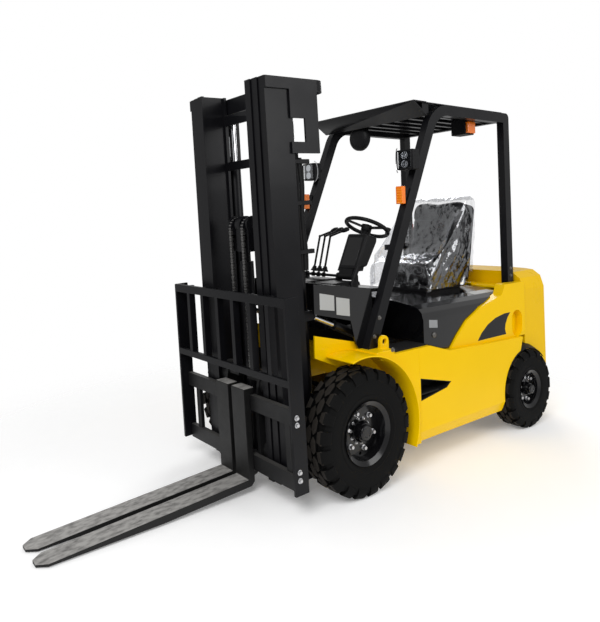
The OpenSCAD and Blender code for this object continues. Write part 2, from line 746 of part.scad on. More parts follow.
// Headlamps on the front pillars, the rear working lamp and the signal holders
lamp_z = pillar_z + (bend_z - pillar_z) * 0.77;
lamp_half = 60;
lamp_x = pillar_f(lamp_z - lamp_half) + 3;
sig_z = pillar_z + (bend_z - pillar_z) * 0.618;
sig_x = pillar_f(sig_z) + 26;
module bracket(z0, z1, x1) {
  xz(guard_half - leg_t + 10, 30) polygon([[pillar_f(z0), z0], [pillar_f(z1), z1], [x1, z1], [x1, z0]]);
}
module lamps() color(black) place() {
  pair() {
    bracket(lamp_z - 20, lamp_z + 20, lamp_x);
    translate([lamp_x, guard_half - 80, lamp_z - lamp_half]) cube([lamp_half, 110, 2 * lamp_half]);
    bracket(sig_z - 45, sig_z + 45, sig_x);
  }
  translate([-1330, 250, guard_top - 150]) cube([100, 110, 105]);
}
module lamp_lenses() color(bright) place() pair() {
  translate([lamp_x + lamp_half, guard_half - 73, lamp_z - 53]) cube([10, 96, 106]);
}
module signal_lenses() color([1, 0.45, 0.05]) place() {
  pair() translate([sig_x, guard_half - leg_t, sig_z - 52]) cube([34, 44, 104]);
  translate([-1322, 360, guard_top - 142]) cube([84, 16, 76]);
}

// Round mirror behind the header
mirror_r = 86;
mirror_z = guard_top - 135;
module rear_mirror() color(black) place() {
  translate([-789, -165, mirror_z]) rotate([0, 90, 0]) cylinder(r = mirror_r, h = 22);
  translate([-767, -171, mirror_z]) cube([12, 12, guard_top - 60 - mirror_z]);
}

// Rear lamps on the guard's rear legs
module rear_lamps() color([0.7, 0.05, 0.05]) place() pair() {
  translate([-leg_x - leg_w / 2 - 14, guard_half - leg_t + 4, guard_top - 920]) cube([14, 24, 170]);
}

// Engine as one plain block
engine_z = 395;
module engine() color(grey) place() {
  translate([-1330, -210, engine_z]) cube([640, 420, 470]);
}

// Mast rails
module channel(out, x0, x1) {
  xy(mast_bottom, rail_len) {
    translate([x0, out - rail_w]) square([rail_t, rail_w]);
    translate([x1 - rail_t, out - rail_w]) square([rail_t, rail_w]);
    translate([x0, out - 14]) square([x1 - x0, 14]);
  }
}
module beam(out, x0, x1) {
  xy(mast_bottom, rail_len) {
    translate([x0, out - rail_w]) square([rail_t, rail_w]);
    translate([x1 - rail_t, out - rail_w]) square([rail_t, rail_w]);
    translate([x0, out - rail_w / 2 - 7]) square([x1 - x0, 14]);
  }
}

// Guide roller reaching from one rail into the next one's channel
module roller(x0, x1, y0, y1, z) {
  ybar((x0 + x1) / 2, z, y0, y1, (x1 - x0) / 2 - rail_t - pin_gap);
}

// Cross plate between rails
module cross(x0, t, half, z0, h) {
  translate([x0, -half, z0]) cube([t, 2 * half, h]);
}

// Outer stage with its axle bearings, cylinder tubes and tilt eyes
cross_t = 12;
bow_x = -30;
bow_r = 78;
bow_t = 12;
win_top = lift_tube_top + 164;
module mast_outer() color(black) leaned() {
  pair() {
    channel(mast_half, rail_back, rail_front);
    roller(mid_back, mid_front, mid_out - rail_w / 2 + 7 + 2, mast_half - 10, mast_top - 160);
    xz(mast_half - 30, 30) difference() {
      union() {
        translate([0, pivot_z]) circle(axle_r + 26);
        polygon([[0, pivot_z + 86], [0, pivot_z - 86], [rail_back + 1, mast_bottom + 20],
          [rail_back + 1, 560]]);
      }
      translate([0, pivot_z]) circle(axle_r + pin_gap);
    }
    for (s = [-1, 1])
      xz(tilt_y + (s > 0 ? eye_half + pin_gap : -eye_half - pin_gap - 10), 10) difference() {
        union() {
          translate([eye_x, eye_z]) circle(26);
          translate([eye_x, eye_z - 26]) square([rail_back + 1 - eye_x, 52]);
        }
      }
    ybar(eye_x, eye_z, tilt_y - eye_half - pin_gap - 10, tilt_y + eye_half + pin_gap + 10, 12);
    difference() {
      translate([lift_x, lift_y, 160]) cylinder(r = lift_tube_r, h = lift_tube_top - 160);
      translate([lift_x, lift_y, 200]) cylinder(r = lift_rod_r + pin_gap, h = 2000);
    }
    translate([lift_x - 10, lift_y - 20, 140]) cube([rail_back - lift_x + 11, mast_half - lift_y + 20, 40]);
    xz(mast_half, bow_t) {
      translate([bow_x + bow_r, mast_top - 62]) square([rail_front - bow_x - bow_r, 60]);
      translate([50, lift_tube_top + 20]) square([95, mast_top - lift_tube_top - 81]);
      translate([50, lift_tube_top - 20]) square([rail_back - 25, 60]);
      translate([50, win_top]) square([rail_back - 25, mast_top - 61 - win_top]);
    }
    xy(mast_top - 62, 60) translate([bow_x + bow_r, mast_half + bow_t - bow_r]) difference() {
      circle(bow_r);
      circle(bow_r - bow_t);
      translate([0, -200]) square([200, 400]);
      translate([-200, -200]) square([400, 200]);
    }
  }
  translate([bow_x, -mast_half - bow_t + bow_r, mast_top - 62])
    cube([bow_t, 2 * (mast_half + bow_t - bow_r), 60]);
  cross(rail_back - cross_t - 13, cross_t, mast_half - 1, 190, 120);
  pair() translate([rail_back - cross_t - 13, mast_half - rail_w, 190]) cube([cross_t + 14, rail_w - 1, 120]);
}

// Middle stage
module mast_middle() color(black) leaned() {
  pair() {
    beam(mid_out, mid_back, mid_front);
    roller(rail_back, rail_front, mid_out - rail_w / 2, mast_half - 16, mast_bottom + 120);
    roller(inner_back, inner_front, inner_out - rail_w / 2 + 9, mid_out - rail_w / 2, mast_top - 160);
    translate([lift_x - 26, lift_y - 26, mast_top - 120]) cube([mid_back - lift_x + 27, 52, 40]);
  }
  cross(mid_back - cross_t, cross_t, mid_out, mast_top - 100, 90);
  cross(mid_back - cross_t, cross_t, mid_out - 2 * run_gap, 480, 90);
}
module lift_rods() color(bright) leaned() pair() {
  translate([lift_x, lift_y, 215]) cylinder(r = lift_rod_r, h = mast_top - 120 - 215);
}

// Inner stage with the free lift tube
module mast_inner() color(black) leaned() {
  pair() {
    beam(inner_out, inner_back, inner_front);
    roller(mid_back, mid_front, inner_out - rail_w / 2, mid_out - rail_w / 2 - 9, mast_bottom + 120);
  }
  cross(inner_back - 2, cross_t, inner_out - 1, mast_top - 170, 60);
  cross(inner_back - 2, cross_t, inner_out - 1, 1780, 50);
  cross(inner_back - 2, cross_t, inner_out - 1, 150, 130);
  difference() {
    translate([free_x, 0, 180]) cylinder(r = free_tube_r, h = 1070);
    translate([free_x, 0, 230]) cylinder(r = 26 + pin_gap, h = 1200);
  }
  translate([inner_back, -70, 160]) cube([free_x - inner_back + 45, 140, 40]);
}

// Free lift rod with the crosshead and its two sheaves
module crosshead() color(black) leaned() {
  translate([free_x, 0, 240]) cylinder(r = 26, h = sheave_z - 240 - 40);
  xz(-chain_y - chain_w / 2 - 24, 14) crosshead_plate();
  xz(chain_y + chain_w / 2 + 10, 14) crosshead_plate();
  xz(-24, 48) crosshead_plate();
  ybar(free_x, sheave_z, -chain_y - chain_w / 2 - 30, chain_y + chain_w / 2 + 30, 16);
  pair() {
    ybar(free_x, sheave_z, chain_y - chain_w / 2, chain_y + chain_w / 2, sheave_r - 6);
    xz(chain_y - chain_w / 2, chain_w) difference() {
      translate([free_x, sheave_z]) circle(sheave_r + 5);
      translate([free_x - 100, sheave_z - 200]) square([200, 200]);
    }
  }
}
module crosshead_plate() {
  translate([free_x, sheave_z + 18]) circle(50);
  translate([free_x - 42, sheave_z - 130]) square([84, 148]);
}

// Chain strand with its scalloped link outline, between two heights
module strand(x, z0, z1) {
  n = round((z1 - z0) / chain_pitch);
  p = (z1 - z0) / n;
  xz(chain_y - chain_w / 2, chain_w) polygon(concat(
    [for (i = [0 : 2 * n]) [x + (i % 2 == 0 ? 3.5 : 6), z0 + i * p / 2]],
    [for (i = [2 * n : -1 : 0]) [x - (i % 2 == 0 ? 3.5 : 6), z0 + i * p / 2]]));
}
anchor_top = 640;
module chains_front() color(steel) leaned() pair() strand(free_x + sheave_r, anchor_top - 2, sheave_z);
module chains_rear() color(steel) leaned() pair() strand(free_x - sheave_r, 200, sheave_z);

// Fork carriage with its two bars, roller plates and rollers
roller_r = (inner_front - inner_back) / 2 - rail_t - pin_gap;
roller_x = (inner_front + inner_back) / 2;
module carriage() color(black) leaned() {
  for (z = [bar_low, bar_top - bar_h])
    translate([bar_x, -back_half + 16, z]) cube([bar_t, 2 * back_half - 32, bar_h]);
  pair() {
    xz(140, 22) polygon([[bar_x + 1, bar_low + 10], [bar_x + 1, bar_top - 10], [bar_x - 30, anchor_top + 20],
      [roller_x - 40, anchor_top + 20], [roller_x - 50, bar_low + 40], [bar_x - 40, bar_low + 10]]);
    for (z = [bar_low + 90, anchor_top - 50])
      ybar(roller_x, z, 161, inner_out - rail_w / 2 - 9, roller_r);
    translate([free_x + sheave_r - 16, chain_y - 16, anchor_top - 32]) cube([32, 141 - chain_y + 16, 30]);
    translate([bar_x, back_half - 130, bar_low + bar_h - 1])
      cube([bar_t - 8, 40, bar_top - bar_low - 2 * bar_h + 2]);
  }
}

// Load backrest on the carriage ends
slat_n = 6;
slat_w = 30;
slat_d = 40;
module backrest() color(black) leaned() {
  pair() translate([bar_x - 6, back_half - 16, back_low]) cube([84, 16, back_top - back_low]);
  translate([bar_x + 58, -back_half + 1, back_top - 46]) cube([20, 2 * back_half - 2, 46]);
  translate([bar_x + 58, -back_half + 1, 676]) cube([20, 2 * back_half - 2, 36]);
  for (i = [1 : slat_n])
    translate([bar_x + 75 - slat_d, -back_half + i * 2 * back_half / (slat_n + 1) - slat_w / 2, 677])
      cube([slat_d, slat_w, back_top - 678]);
}

// Forks, hooked over the carriage bars
module fork() {
  difference() {
    xz(fork_in, fork_w) {
      polygon([[fork_face, fork_top], [fork_face, shank_top], [fork_face - fork_t, shank_top],
        [fork_face - fork_t, fork_top - fork_t + 22], [fork_face - fork_t + 22, fork_top - fork_t],
        [fork_face + 0.45 * fork_len, fork_top - fork_t - 0.45 * fork_drop],
        [blade_tip - 70, fork_top - 12 - fork_drop], [blade_tip, fork_top - 12 - fork_drop],
        [blade_tip, fork_top - fork_drop]]);
      polygon([[fork_face - fork_t + 1, bar_top + pin_gap], [fork_face - fork_t + 1, shank_top],
        [bar_x + 4, shank_top], [bar_x + 4, bar_top + pin_gap]]);
      polygon([[fork_face - fork_t + 1, bar_low - pin_gap], [bar_x + 8, bar_low - pin_gap],
        [bar_x + 8, bar_low - 22], [fork_face - fork_t + 1, bar_low - 30]]);
    }
    xy(0, 200) {
      polygon([[blade_tip - 50, fork_in - 1], [blade_tip + 1, fork_in - 1], [blade_tip + 1, fork_in + 36]]);
      polygon([[blade_tip - 50, fork_in + fork_w + 1], [blade_tip + 1, fork_in + fork_w + 1],
        [blade_tip + 1, fork_in + fork_w - 36]]);
    }
  }
}
module fork_left() color(steel) leaned() fork();
module fork_right() color(steel) leaned() mirror([0, 1, 0]) fork();

// Tilt cylinders in line from the chassis anchor to the eye as it stands with the mast leaned
function lean_x(x, z) = x * cos(mast_lean) + (z - pivot_z) * sin(mast_lean);
function lean_z(x, z) = pivot_z - x * sin(mast_lean) + (z - pivot_z) * cos(mast_lean);
eye_px = lean_x(eye_x, eye_z);
eye_pz = lean_z(eye_x, eye_z);
tilt_len = norm([eye_px + anchor_x, eye_pz - anchor_z]);
tilt_up = atan2(eye_pz - anchor_z, eye_px + anchor_x);
barrel_end = tilt_len - 190;
module tilt_line() {
  place() pair() translate([-anchor_x, tilt_y, anchor_z]) rotate([0, 90 - tilt_up, 0]) children();
}
neck = ear_r + run_gap;
module tilt_barrels() color(black) tilt_line() difference() {
  union() {
    translate([0, eye_half, 0]) rotate([90, 0, 0]) cylinder(r = 26, h = 2 * eye_half);
    translate([-20, -eye_half, 0]) cube([40, 2 * eye_half, neck + 4]);
    translate([0, 0, neck]) cylinder(r = tilt_r, h = barrel_end - neck);
    translate([0, 0, barrel_end - 40]) cylinder(r = tilt_r + 1, h = 40);
  }
  translate([0, 50, 0]) rotate([90, 0, 0]) cylinder(r = tilt_pin + pin_gap, h = 100);
  translate([0, 0, 60]) cylinder(r = tilt_rod_r + pin_gap, h = tilt_len);
}
module tilt_rods() color(bright) tilt_line() difference() {
  union() {
    translate([0, 0, 150]) cylinder(r = tilt_rod_r, h = tilt_len - 150 - neck);
    translate([-tilt_rod_r + 2, -eye_half, tilt_len - neck - 4])
      cube([2 * tilt_rod_r - 4, 2 * eye_half, neck + 4]);
    translate([0, eye_half, tilt_len]) rotate([90, 0, 0]) cylinder(r = 25, h = 2 * eye_half);
  }
  translate([0, 50, tilt_len]) rotate([90, 0, 0]) cylinder(r = 12 + pin_gap + 1, h = 100);
}

frame();
fenders();
steps();
floor_plate();
cowl();
console();
column();
levers();
steering_wheel();
controls();
side_covers();
counterweight();
grille();
tow_pin();
radiator_cover();
overhead_guard();
roof_panel();
lamps();
lamp_lenses();
signal_lenses();
rear_mirror();
rear_lamps();
engine();
front_axle();
steer_axle();
hood();
seat_base();
seat_cushion();
seat_back();
knuckle_left();
knuckle_right();
tyre_fl();
rim_fl();
tyre_fr();
rim_fr();
tyre_rl();
rim_rl();
tyre_rr();
rim_rr();
mast_outer();
mast_middle();
lift_rods();
mast_inner();
crosshead();
carriage();
backrest();
fork_left();
fork_right();
tilt_barrels();
tilt_rods();
chains_front();
chains_rear();
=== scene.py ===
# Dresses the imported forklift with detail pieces, materials, studio light and the photograph's camera
import json
import math
from collections import namedtuple

import bmesh
import bpy
from mathutils import Matrix, Vector, noise
from mathutils.bvhtree import BVHTree

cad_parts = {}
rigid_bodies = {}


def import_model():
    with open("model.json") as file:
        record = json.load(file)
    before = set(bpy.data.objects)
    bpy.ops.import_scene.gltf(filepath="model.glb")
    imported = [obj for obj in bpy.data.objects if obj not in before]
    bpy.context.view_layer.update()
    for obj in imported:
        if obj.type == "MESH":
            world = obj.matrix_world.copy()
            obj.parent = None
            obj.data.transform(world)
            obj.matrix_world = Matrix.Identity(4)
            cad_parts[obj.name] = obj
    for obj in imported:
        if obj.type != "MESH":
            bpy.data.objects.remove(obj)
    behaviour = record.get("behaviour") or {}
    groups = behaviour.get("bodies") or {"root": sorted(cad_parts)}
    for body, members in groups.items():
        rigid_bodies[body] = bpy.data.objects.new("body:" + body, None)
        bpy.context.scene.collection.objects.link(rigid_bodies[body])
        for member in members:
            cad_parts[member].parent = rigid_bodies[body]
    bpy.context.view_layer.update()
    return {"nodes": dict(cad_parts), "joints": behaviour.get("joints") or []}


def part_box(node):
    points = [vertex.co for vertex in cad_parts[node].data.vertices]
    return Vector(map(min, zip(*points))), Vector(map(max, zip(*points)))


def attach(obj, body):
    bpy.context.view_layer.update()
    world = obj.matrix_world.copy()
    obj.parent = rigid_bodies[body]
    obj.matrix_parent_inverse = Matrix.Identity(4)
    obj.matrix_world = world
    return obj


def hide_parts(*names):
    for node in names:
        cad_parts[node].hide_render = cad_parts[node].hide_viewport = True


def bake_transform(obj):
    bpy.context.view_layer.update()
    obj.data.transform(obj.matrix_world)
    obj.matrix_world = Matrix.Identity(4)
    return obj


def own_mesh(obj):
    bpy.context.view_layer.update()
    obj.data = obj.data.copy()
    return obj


for o in list(bpy.data.objects):
    bpy.data.objects.remove(o)
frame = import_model()
nodes = frame["nodes"]
joints = {j["name"]: j for j in frame["joints"]}

# Places taken from the frame, in metres
axle = Vector(joints["wheel_fl_spin"]["pos_m"])
rear_axle = Vector(joints["wheel_rl_spin"]["pos_m"])
king = Vector(joints["steer"]["pos_m"])
lift = Vector(joints["mast_lift"]["axis"]).normalized()
hinge = Vector(joints["hood_open"]["pos_m"])
sin_lean, cos_lean = lift.x, lift.z
hinge_rise = 0.008
hood_top = hinge.z - hinge_rise

# Shared values: left and right, axes, plate thickness, and how far out a ray starts to find a side face
sides = (1, -1)
forward, backward, across = (1, 0, 0), (-1, 0, 0), (0, 1, 0)
plate_t = 0.0012
ray_y = 0.8


# A place given from the front axle
def spot(x, y, z):
    return Vector((axle.x + x, y, z))


# A place given in the leaned frame of the mast
def mast_spot(x, y, z):
    d = z - axle.z
    return Vector((axle.x + x * cos_lean + d * sin_lean, y, axle.z - x * sin_lean + d * cos_lean))


def mast_frame(x, y, z):
    m = Matrix.Rotation(math.atan2(sin_lean, cos_lean), 4, "Y")
    m.translation = mast_spot(x, y, z)
    return m


# Mesh building
def circle(c, u, v, r, n):
    return [c + (u * math.cos(t) + v * math.sin(t)) * r for t in (2 * math.pi * i / n for i in range(n))]


class Piece:
    def __init__(self, name):
        self.name = name
        self.bm = bmesh.new()

    def ring(self, points):
        return [self.bm.verts.new(p) for p in points]

    def bridge(self, a, b):
        n = len(a)
        for i in range(n):
            k = (i + 1) % n
            self.bm.faces.new((a[i], a[k], b[k], b[i]))

    def loft(self, rings, caps=True):
        made = [self.ring(r) for r in rings]
        for a, b in zip(made, made[1:]):
            self.bridge(a, b)
        if caps:
            self.bm.faces.new(list(reversed(made[0])))
            self.bm.faces.new(made[-1])
        return made

    def closed_loft(self, rings, closed):
        made = self.loft(rings, caps=not closed)
        if closed:
            self.bridge(made[-1], made[0])

    def box(self, lo, hi, m=Matrix()):
        x0, y0, z0 = lo
        x1, y1, z1 = hi
        plan = ((x0, y0), (x1, y0), (x1, y1), (x0, y1))
        self.loft([[m @ Vector((x, y, z)) for x, y in plan] for z in (z0, z1)])

    def slab(self, points, thick):
        a, b, c = (Vector(p) for p in points[:3])
        n = (b - a).cross(c - b).normalized() * thick
        self.loft([[Vector(p) for p in points], [Vector(p) + n for p in points]])

    def lathe(self, profile, origin, direction, n=40, closed=False):
        w = Vector(direction).normalized()
        u = w.orthogonal().normalized()
        v = w.cross(u)
        smallest = 1e-5
        middle = Vector(origin)
        rings = [circle(middle + w * h, u, v, max(r, smallest), n) for r, h in profile]
        self.closed_loft(rings, closed)

    def tube(self, path, r, n=10, closed=False):
        path = [Vector(p) for p in path]
        count = len(path)
        rings = []
        u = None
        for i, p in enumerate(path):
            a = path[i - 1] if i or closed else path[0]
            b = path[(i + 1) % count] if i < count - 1 or closed else path[-1]
            w = (b - a).normalized()
            if u is None:
                u = w.orthogonal().normalized()
            u = (u - w * u.dot(w)).normalized()
            rings.append(circle(p, u, w.cross(u), r, n))
        self.closed_loft(rings, closed)

    def bolt(self, at, direction, r, h):
        # A round washer and a hexagon head, sunk a little so that no gap shows
        w = Vector(direction).normalized()
        at = Vector(at) - w * 0.0005
        self.lathe([(r * 1.35, 0), (r * 1.35, h * 0.22), (r * 1.2, h * 0.28)], at, w, 14)
        self.lathe([(r, h * 0.25), (r, h * 0.85), (r * 0.86, h)], at, w, 6)

    def bolt_on(self, node, start, side, r, h):
        # A bolt where a ray from the given side meets the node
        q = hit(node, start, (0, -side, 0))
        if q:
            self.bolt(q, (0, side, 0), r, h)

    def done(self, mat, body, bevel=0.0, angle=35, slot=None, segments=2):
        bmesh.ops.recalc_face_normals(self.bm, faces=self.bm.faces)
        mesh = bpy.data.meshes.new(self.name)
        self.bm.to_mesh(mesh)
        self.bm.free()
        mesh.polygons.foreach_set("use_smooth", [True] * len(mesh.polygons))
        mesh.set_sharp_from_angle(angle=math.radians(angle))
        o = bpy.data.objects.new(self.name, mesh)
        bpy.context.scene.collection.objects.link(o)
        mesh.materials.append(mat)
        if bevel:
            b = o.modifiers.new("bevel", "BEVEL")
            b.width, b.segments, b.limit_method = bevel, segments, "ANGLE"
            b.angle_limit = math.radians(angle)
        if body:
            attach(o, body)
        return o


trees = {}


def hit(node, start, direction, far=3.0):
    if node not in trees:
        me = nodes[node].data
        trees[node] = BVHTree.FromPolygons([v.co for v in me.vertices], [p.vertices for p in me.polygons])
    return trees[node].ray_cast(Vector(start), Vector(direction).normalized(), far)[0]


# Material building
def lin(r, g, b):
    return tuple((c / 255 / 12.92) if c <= 10 else ((c / 255 + 0.055) / 1.055) ** 2.4 for c in (r, g, b))


def new_material(name):
    m = bpy.data.materials.new(name)
    m.use_nodes = True
    return m, m.node_tree


def object_coords(tree):
    return tree.nodes.new("ShaderNodeTexCoord").outputs["Object"]


def noise_on(tree, vector, scale, detail=2.0):
    node = tree.nodes.new("ShaderNodeTexNoise")
    node.inputs["Scale"].default_value = scale
    node.inputs["Detail"].default_value = detail
    tree.links.new(vector, node.inputs["Vector"])
    return node.outputs["Fac"]


def remap(tree, value, given=(0.0, 1.0), wanted=(0.0, 1.0)):
    node = tree.nodes.new("ShaderNodeMapRange")
    for i, limit in enumerate(given + wanted):
        node.inputs[i + 1].default_value = limit
    tree.links.new(value, node.inputs[0])
    return node.outputs[0]


def bump_on(tree, height, strength, distance):
    node = tree.nodes.new("ShaderNodeBump")
    node.inputs["Strength"].default_value = strength
    node.inputs["Distance"].default_value = distance
    tree.links.new(height, node.inputs["Height"])
    return node.outputs["Normal"]


def math_on(tree, operation):
    node = tree.nodes.new("ShaderNodeMath")
    node.operation = operation
    return node


def overlay(tree, share, colour):
    # A second colour over the base colour, by the given share
    base = tree.nodes["Principled BSDF"].inputs["Base Color"]
    mix = tree.nodes.new("ShaderNodeMix")
    mix.data_type = "RGBA"
    tree.links.new(share, mix.inputs[0])
    tree.links.new(base.links[0].from_socket, mix.inputs[6])
    mix.inputs[7].default_value = colour + (1,)
    tree.links.new(mix.outputs[2], base)


def surface(name, rgb, rough=0.4, metal=0.0, coat=0.0, vary=0.12, grain=9.0, bump=0.05, fine=160.0, dust=0.0,
            spec=0.5):
    # A surface whose colour and gloss vary with a broad noise, with a fine noise as its texture
    m, tree = new_material(name)
    p = tree.nodes["Principled BSDF"]
    p.inputs["Metallic"].default_value = metal
    p.inputs["Coat Weight"].default_value = coat
    p.inputs["Specular IOR Level"].default_value = spec
    p.inputs["Coat Roughness"].default_value = 0.08
    co = object_coords(tree)
    broad = noise_on(tree, co, grain, 5)
    mix = tree.nodes.new("ShaderNodeMix")
    mix.data_type = "RGBA"
    mix.inputs[6].default_value = tuple(c * (1 - vary) for c in rgb) + (1,)
    mix.inputs[7].default_value = tuple(min(1, c * (1 + vary) + dust) for c in rgb) + (1,)
    tree.links.new(broad, mix.inputs[0])
    tree.links.new(mix.outputs[2], p.inputs["Base Color"])
    gloss = remap(tree, broad, wanted=(max(0.03, rough - 0.1), rough + 0.12))
    tree.links.new(gloss, p.inputs["Roughness"])
    tree.links.new(bump_on(tree, noise_on(tree, co, fine, 4), bump, 0.002), p.inputs["Normal"])
    return m


def worn(name, under, over, start, end, stretch):
    # Faces that look up are rubbed bare in streaks
    m = surface(name, under, rough=0.5, vary=0.25, grain=14, bump=0.12, spec=0.3)
    tree = m.node_tree
    n, k = tree.nodes, tree.links
    sep = n.new("ShaderNodeSeparateXYZ")
    k.new(n.new("ShaderNodeNewGeometry").outputs["Normal"], sep.inputs[0])
    mapping = n.new("ShaderNodeMapping")
    mapping.inputs["Scale"].default_value = stretch
    k.new(object_coords(tree), mapping.inputs["Vector"])
    bare = math_on(tree, "MULTIPLY")
    k.new(remap(tree, sep.outputs["Z"], (start, end)), bare.inputs[0])
    k.new(remap(tree, noise_on(tree, mapping.outputs[0], 1.0, 8), (0.12, 0.60)), bare.inputs[1])
    overlay(tree, bare.outputs[0], over)
    shine = math_on(tree, "MULTIPLY")
    shine.inputs[1].default_value = 0.25
    k.new(bare.outputs[0], shine.inputs[0])
    k.new(shine.outputs[0], n["Principled BSDF"].inputs["Metallic"])
    return m


def dusty(name, under, over, attribute):
    # A rubber whose marked faces are paler
    m = surface(name, under, rough=0.7, vary=0.3, grain=16, bump=0.2, fine=240, dust=0.001, spec=0.09)
    mark = m.node_tree.nodes.new("ShaderNodeAttribute")
    mark.attribute_name = attribute
    overlay(m.node_tree, mark.outputs["Fac"], over)
    return m


def clear(name, tint, share, rough, crease=0.15, scale=30, rim=0.55):
    # A mostly clear surface with bright reflections
    m, tree = new_material(name)
    n, k = tree.nodes, tree.links
    n.remove(n["Principled BSDF"])
    see = n.new("ShaderNodeBsdfTransparent")
    see.inputs["Color"].default_value = tint + (1,)
    gloss = n.new("ShaderNodeBsdfGlossy")
    gloss.inputs["Color"].default_value = (0.95, 0.97, 1.0, 1)
    gloss.inputs["Roughness"].default_value = rough
    creases = noise_on(tree, object_coords(tree), scale)
    k.new(bump_on(tree, creases, crease, 0.004), gloss.inputs["Normal"])
    face = n.new("ShaderNodeLayerWeight")
    face.inputs["Blend"].default_value = 0.35
    mix = n.new("ShaderNodeMixShader")
    k.new(remap(tree, face.outputs["Facing"], wanted=(share, min(1.0, share + rim))), mix.inputs[0])
    k.new(see.outputs[0], mix.inputs[1])
    k.new(gloss.outputs[0], mix.inputs[2])
    k.new(mix.outputs[0], n["Material Output"].inputs["Surface"])
    return m


# Paints
yellow = surface("yellow_paint", lin(239, 194, 0), rough=0.22, coat=0.08, vary=0.04, grain=3, bump=0.008,
                 fine=60, spec=0.08)
yellow_cast = surface("yellow_casting", lin(236, 190, 0), rough=0.28, coat=0.06, vary=0.05, grain=4,
                      bump=0.03, fine=45, spec=0.08)
black_paint = surface("black_paint", lin(12, 12, 15), rough=0.32, coat=0.10, vary=0.25, bump=0.04, dust=0.001,
                      spec=0.2)
mast_black = surface("mast_black", lin(12, 12, 15), rough=0.36, coat=0.03, vary=0.35, grain=5, bump=0.06,
                     dust=0.001, spec=0.17)
gloss_black = surface("gloss_black", lin(10, 10, 12), rough=0.2, coat=0.2, vary=0.2, bump=0.02, spec=0.3)
hood_gloss = surface("bonnet_gloss", lin(9, 9, 11), rough=0.12, coat=0.6, vary=0.15, grain=4, bump=0.006,
                     fine=50, spec=0.4)
fork_mat = worn("fork_worn", lin(16, 16, 16), lin(170, 168, 165), 0.6, 0.95, (22.0, 48.0, 20.0))
bar_mat = worn("bar_worn", lin(17, 17, 18), lin(80, 79, 77), 0.8, 0.97, (20.0, 3.0, 20.0))

# Plastic, rubber and vinyl
plastic = surface("black_plastic", lin(16, 16, 18), rough=0.48, vary=0.2, bump=0.14, fine=420, spec=0.2)
tread_rubber = dusty("tread_rubber", lin(10, 10, 10), lin(42, 39, 36), "tread_wear")
mat_rubber = surface("mat_rubber", lin(17, 17, 18), rough=0.7, vary=0.25, bump=0.2, fine=300, spec=0.25)
vinyl = surface("seat_vinyl", lin(16, 16, 18), rough=0.46, vary=0.15, grain=40, bump=0.25, fine=380)

# Metals and plates
steel = surface("bright_steel", lin(196, 196, 198), rough=0.28, metal=0.9, vary=0.15, bump=0.04)
dull_steel = surface("dull_steel", lin(110, 108, 106), rough=0.42, metal=0.8, vary=0.3, bump=0.08)
chrome = surface("rod_chrome", lin(220, 221, 224), rough=0.1, metal=1.0, vary=0.04, bump=0.01)
chain_oiled = surface("chain_oiled", lin(122, 121, 120), rough=0.26, metal=0.85, vary=0.4, grain=60, bump=0.1)
iron = surface("engine_iron", lin(70, 72, 74), rough=0.6, metal=0.3, vary=0.2, bump=0.2)
pale = surface("pale_plate", lin(168, 169, 167), rough=0.42, vary=0.06, bump=0.03)
grey_plate = surface("grey_plate", lin(150, 152, 154), rough=0.4, metal=0.3, vary=0.08, bump=0.03)
reflector = surface("lamp_reflector", lin(232, 234, 236), rough=0.1, metal=1.0, vary=0.05, bump=0.2, fine=120)

# Lenses and clear sheets
orange = surface("orange_lens", lin(255, 124, 6), rough=0.14, coat=0.8, vary=0.12, grain=60, bump=0.3,
                 fine=260)
amber = surface("amber_lens", lin(255, 156, 8), rough=0.12, coat=0.9, vary=0.1, grain=60, bump=0.2, fine=200)
red = surface("red_lens", lin(170, 18, 14), rough=0.14, coat=0.8, vary=0.1, grain=60, bump=0.3, fine=260)
film_mat = clear("clear_film", (0.95, 0.95, 0.96), 0.09, 0.12, 0.6, 34, 0.5)
panel_mat = clear("rain_panel", (0.05, 0.055, 0.06), 0.05, 0.14, 0.05, 12, 0.12)
lens_mat = clear("lamp_lens", (0.97, 0.98, 1.0), 0.08, 0.04)

# Looks and edge radii of the CAD nodes
looks = {
    "frame": yellow, "fenders": yellow, "side_covers": yellow, "counterweight": yellow_cast,
    "radiator_cover": yellow, "steps": mat_rubber, "floor_plate": mat_rubber, "cowl": hood_gloss,
    "console": plastic, "column": plastic, "steering_wheel": plastic, "levers": plastic, "controls": plastic,
    "grille": black_paint, "tow_pin": steel, "overhead_guard": black_paint, "roof_panel": panel_mat,
    "lamps": plastic, "lamp_lenses": lens_mat, "signal_lenses": orange, "rear_mirror": plastic,
    "rear_lamps": red, "engine": iron, "front_axle": mast_black, "steer_axle": mast_black, "hood": hood_gloss,
    "seat_base": plastic, "seat_cushion": vinyl, "seat_back": vinyl, "knuckle_left": mast_black,
    "knuckle_right": mast_black, "mast_outer": mast_black, "mast_middle": mast_black, "lift_rods": chrome,
    "mast_inner": mast_black, "crosshead": mast_black, "carriage": bar_mat, "backrest": mast_black,
    "fork_left": fork_mat, "fork_right": fork_mat, "tilt_barrels": black_paint, "tilt_rods": chrome,
    "chains_front": chain_oiled, "chains_rear": chain_oiled,
}
